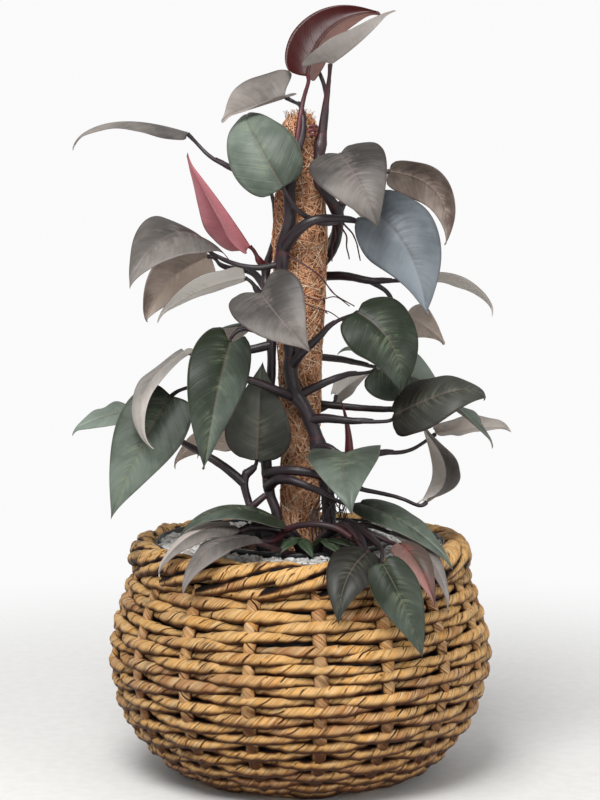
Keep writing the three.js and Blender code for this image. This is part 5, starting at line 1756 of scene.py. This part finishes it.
@dataclass
class Stems:
    """The climbing stems with their stalks, sheaths, node rings and roots."""

    step: float = 3.5
    stalk_end: float = 2.4
    sheath_end: float = 0.6
    easing: int = 12
    clear: float = 0.9
    node_swell: float = 0.14
    node_reach: float = 9
    root_radius: float = 1.2
    root_step: float = 3.0
    fine_roots: int = 26
    shortest_sheathed: int = 20
    young_from: float = 735
    finish: StemFinish = field(default_factory=StemFinish)

    def stem(self, vine: Vine, seed: int) -> Strand:
        """Returns a stem, swollen and red at its nodes."""
        line = smooth_line(vine.places(), self.step)
        run = np.arange(len(line)) * self.step
        radius = np.linspace(vine.radius[0], vine.radius[1], len(line))
        tint = 0.2 + 0.15 * wander(run, 30, seed)
        for order, stalk in enumerate(vine.stalks):
            start = np.array(stalk.via[0], float)
            near = np.linalg.norm(line - start, axis=1)
            radius = radius * (1 + self.node_swell * np.exp(-((near / self.node_reach) ** 2)))
            above = np.where(line[:, 2] > start[2], near, 99)
            tint = np.maximum(tint, 0.3 + 0.5 * (order % 3 == 0) * np.exp(-(((above - 12) / 3.5) ** 2)))
        tint = np.maximum(tint, 0.62 * np.clip((line[:, 2] - self.young_from) / 40, 0, 1))
        return Strand(line, vine.girth * radius * (1 + 0.04 * wander(run, 14, seed + 1)), tint)

    def stalk(self, stalk: Stalk, seed: int) -> Strand:
        """Returns a stalk, thick and sheathed near the stem and slender at the blade, where it bends."""
        line = self.stalk_line(stalk)
        share = np.linspace(0, 1, len(line))
        sheath = np.clip((self.sheath_end - share) / 0.1, 0, 1) if stalk.tipped else 0.15
        slim = stalk.thick + (self.stalk_end - stalk.thick) * np.clip(share / 0.85, 0, 1) ** 0.8
        radius = slim * (0.95 + 0.42 * sheath) + 0.7 * np.clip((share - 0.92) / 0.08, 0, 1)
        tint = stalk.red + 0.12 * sheath + 0.15 * wander(share, 0.3, seed)
        return Strand(line, radius * (1 + 0.04 * wander(share, 0.12, seed + 1)), tint)

    def stalk_line(self, stalk: Stalk) -> np.ndarray:
        """Returns the line of a stalk, eased so that it bends nowhere sharply."""
        sheet = BladeSheet(BLADES[stalk.blade])
        below, behind = (5.0, 9.0) if sheet.blade.lobe < 0.03 else (9.0, 6.0)
        if stalk.blade == "crown_maroon":
            below, behind = 4.0, 2.0
        line = smooth_line([*stalk.via, *sheet.stalk_top(below, behind, self.clear)], self.step)
        for _ in range(self.easing):
            line[1:-1] = (line[:-2] + 2 * line[1:-1] + line[2:]) / 4
        return line

    def sheath_tip(self, stalk: Stalk, seed: int) -> Strand:
        """Returns the free, pointed end of a stalk's sheath, which leaves the stalk at a narrow angle."""
        line = self.stalk_line(stalk)
        start = int(len(line) * (self.sheath_end - 0.1))
        part = line[start : start + 8]
        ahead = unit(part[-1] - part[0])
        above = unit(np.array([0, 0.25, 1.0]) - ahead * ahead[2])
        share = np.linspace(0, 1, len(part))
        lift = 1.0 + 2.2 * share
        radius = np.interp(share, [0, 0.55, 1], [stalk.thick * 0.7, stalk.thick * 0.55, 0.4])
        return Strand(part + above * lift[:, None], radius, 0.3 + 0.1 * wander(share, 0.5, seed))

    def root(self, knots: tuple[Place, ...], seed: int) -> Strand:
        """Returns a thin dark-red aerial root that wanders a little."""
        line = smooth_line(list(knots), self.root_step)
        share = np.linspace(0, 1, len(line))
        return Strand(swayed(line, 2.0, 0.25, seed), self.root_radius * (1.1 - 0.5 * share), 0.75)

    def tangle(self) -> list[Strand]:
        """Returns the fine dark roots between the stems and the potting mix, right of the pole."""
        rng = np.random.default_rng(61)
        roots = []
        for number in range(self.fine_roots):
            x, y = rng.uniform(26, 62), rng.uniform(-62, -34)
            drop = rng.uniform(334, 350)
            middle = (x + rng.uniform(-8, 8), y - rng.uniform(4, 18), rng.uniform(352, 364))
            end = (x + rng.uniform(-14, 10), y - rng.uniform(18, 44), drop)
            knots = [(x, y, rng.uniform(366, 378)), middle, end, (end[0] + 4, end[1] - 2, 304)]
            line = swayed(smooth_line(knots, self.root_step), 3.0, 0.18, 700 + 3 * number)
            roots.append(Strand(line, rng.uniform(0.45, 0.85), 0.35))
        return roots

    def foot(self) -> list[Strand]:
        """Returns the short stalks at the foot, and the buds, shoots and long roots by the pole."""
        strands = []
        for knots, start, end, red in (*FOOT_STALKS, *RED_SHOOTS):
            line = smooth_line(list(knots), self.step)
            share = np.linspace(0, 1, len(line))
            tint = red + 0.1 * wander(share, 0.3, int(start * 10))
            strands.append(Strand(line, start + (end - start) * share, tint))
        return strands

    def build(self, maker: Maker) -> None:
        """Builds and dresses the stems."""
        skin = self.finish.material(maker.effects)
        for order, (name, vine) in enumerate(VINES.items()):
            seed = 1000 + 50 * order
            strands = [self.stem(vine, seed)]
            strands += [self.stalk(stalk, seed + 5 * i) for i, stalk in enumerate(vine.stalks, 1)]
            tipped = [stalk for stalk in vine.stalks if stalk.tipped]
            long = [stalk for stalk in tipped if len(self.stalk_line(stalk)) > self.shortest_sheathed]
            strands += [self.sheath_tip(stalk, seed + 7 * i) for i, stalk in enumerate(long, 1)]
            strands += [self.root(knots, seed + 3 * i) for i, knots in enumerate(vine.roots)]
            look = {"Sides": 14, "Lump_Height": 0.9 * MM, "Lump_Scale": 130.0, "Material": skin}
            maker.keep(maker.sweep("stem_" + name.removeprefix("vine_"), strands, **look), "stem", name)
        maker.keep(maker.sweep("foot_stalks", self.foot(), Sides=14, Material=skin), "stem")
        maker.keep(maker.sweep("fine_roots", self.tangle(), Sides=5, Material=skin), "stem")


@dataclass
class Sprout:
    """The young leaves at the foot, on one short stem."""

    leafmaker: Leafmaker = field(default_factory=lambda: Leafmaker(rows=18, half_lines=6))
    stem_radius: float = 3.3
    stalk_radius: float = 1.4

    def build(self, maker: Maker) -> None:
        """Builds and dresses the sprout."""
        finish = LeafFinish("1f2a1c", "3f5238", "5a6a4e", "36432e", "56644a", "6c7858", margin="38412f")
        sides = finish.materials(Tone.GREEN, maker.effects)
        stalks = [Strand(smooth_line([SPROUT_FOOT, SPROUT_HEAD], 4), self.stem_radius, 0.3)]
        for number, blade in enumerate(SPROUT_LEAVES):
            x, y, z = SPROUT_HEAD
            bend = ((x + blade.base[0]) / 2, (y + blade.base[1]) / 2, z + 9)
            stalks.append(Strand(smooth_line([(x, y, z - 3), bend, blade.base], 3), self.stalk_radius, 0.3))
            leaf = self.leafmaker.mesh(f"young_leaf_{number}", blade, sides, scale=0.4)
            maker.keep(leaf, "sprout", "juvenile_sprout")
        skin = StemFinish(dark="2f3a28", plum="4a5a38", red="6b5040").material(maker.effects)
        piece = maker.sweep("sprout_stalks", stalks, Sides=8, Material=skin)
        maker.keep(piece, "sprout", "juvenile_sprout")


@dataclass
class Carried:
    """The solids that show as they are: the pumice and the root ball under loose grains, and the pipe."""

    def dress(self, nodes: dict[str, bpy.types.Object], maker: Maker) -> None:
        """Gives each carried solid its material.

        Args:
            nodes: the frame's objects by name.
            maker: for the shared effects.
        """
        grit = GritFinish("pumice_bed", "9c9486", "5f5648", "9c9486", 0.95).material(maker.effects)
        mix = GritFinish("mix_bed", "3a291d", "150d09", "3a291d", 0.95).material(maker.effects)
        pipe = PlasticFinish("pole_pipe", "3a3835", "6a6660", 0.5).material(maker.effects)
        for name, material in (("pumice_fill", grit), ("root_ball", mix), ("pole_core", pipe)):
            node = nodes[name]
            node.data.materials.clear()
            node.data.materials.append(material)
            log.info("%s: carried over with %s", name, material.name)


@dataclass
class Studio:
    """A pale floor, soft light from all round with a large lamp above, and the photograph's view."""

    camera_place: Place = (0, -3.0, 0.8)
    aim: Place = (0, 0, 0.478)
    lens: float = 106.91
    floor_reach: float = 1.5
    floor_height: float = -0.6
    ambient: float = 0.5
    background: float = 0.96

    def camera(self) -> None:
        """Sets up the camera at the photograph's height and distance."""
        data = bpy.data.cameras.new("front_view")
        data.lens = self.lens
        camera = bpy.data.objects.new("front_view", data)
        camera.location = self.camera_place
        ahead = Vector(self.aim) - Vector(self.camera_place)
        camera.rotation_euler = ahead.to_track_quat("-Z", "Y").to_euler()
        bpy.context.scene.collection.objects.link(camera)
        bpy.context.scene.camera = camera

    def lamp(self, name: str, place: Place, size: float, power: float) -> None:
        """Adds a square soft lamp that looks at the plant."""
        data = bpy.data.lights.new(name, "AREA")
        data.size = size
        data.energy = power
        lamp = bpy.data.objects.new(name, data)
        lamp.location = place
        lamp.rotation_euler = (Vector((0, 0, 0.4)) - Vector(place)).to_track_quat("-Z", "Y").to_euler()
        bpy.context.scene.collection.objects.link(lamp)

    def sky(self) -> None:
        """Gives the world one pale colour, brighter where the camera sees it than in what it lights."""
        world = bpy.data.worlds.new("studio")
        world.use_nodes = True
        bpy.context.scene.world = world
        wiring = Wiring(world.node_tree)
        seen = wiring.add("ShaderNodeLightPath").outputs["Is Camera Ray"]
        strength = wiring.scaled(seen, self.background - self.ambient, self.ambient)
        light = world.node_tree.nodes["Background"]
        light.inputs["Color"].default_value = (1, 1, 1, 1)
        world.node_tree.links.new(strength, light.inputs["Strength"])

    def floor(self) -> None:
        """Lays the floor, a disc that fades out at its edge."""
        columns = 96
        angles = np.arange(columns) * TURN / columns
        rim = around(self.floor_reach / MM, angles, np.full(columns, self.floor_height))
        places = np.concatenate([[[0, 0, self.floor_height]], rim])
        faces = [[0, i + 1, (i + 1) % columns + 1] for i in range(columns)]
        material = bpy.data.materials.new("pale_floor")
        material.use_nodes = True
        wiring = Wiring(material.node_tree)
        shader = material.node_tree.nodes["Principled BSDF"]
        shader.inputs["Roughness"].default_value = 0.9
        place = wiring.object_place()
        far = wiring.add("ShaderNodeVectorMath", {0: place}, operation="LENGTH").outputs["Value"]
        grain = wiring.fade(wiring.noise(place, 60.0, 3.0), 0.3, 0.7)
        links = material.node_tree.links
        links.new(wiring.blend(grain, paint("efeeec"), paint("f4f3f1")), shader.inputs["Base Color"])
        links.new(wiring.fade(far, 0.4, self.floor_reach * 0.97, 1.0, 0.0), shader.inputs["Alpha"])
        mesh_of("floor", places, faces, [material])

    def build(self) -> None:
        """Sets the whole studio up."""
        self.camera()
        self.sky()
        self.floor()
        self.lamp("overhead_lamp", (-0.5, -1.7, 2.4), 1.2, 64.0)
        self.lamp("side_lamp", (1.9, -2.4, 0.9), 1.4, 16.0)
        bpy.context.scene.view_settings.view_transform = "Standard"


def corners(box: tuple[Any, Any]) -> list[list[float]]:
    """Returns a box's two corners as plain lists."""
    return [[float(value) for value in corner] for corner in box]


def main() -> None:
    """Loads the frame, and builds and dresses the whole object."""
    logging.basicConfig(level=logging.INFO, format="%(name)s %(message)s")
    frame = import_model()
    maker = Maker(Effects(), strand_tree(), scatter_tree())
    Studio().build()
    Basket().build(maker)
    Filling().build(maker)
    Pole().build(maker)
    Stems().build(maker)
    Sprout().build(maker)
    Foliage().build(maker)
    Carried().dress(frame["nodes"], maker)
    log.info("sizes written")


if __name__ == "__main__":
    main()
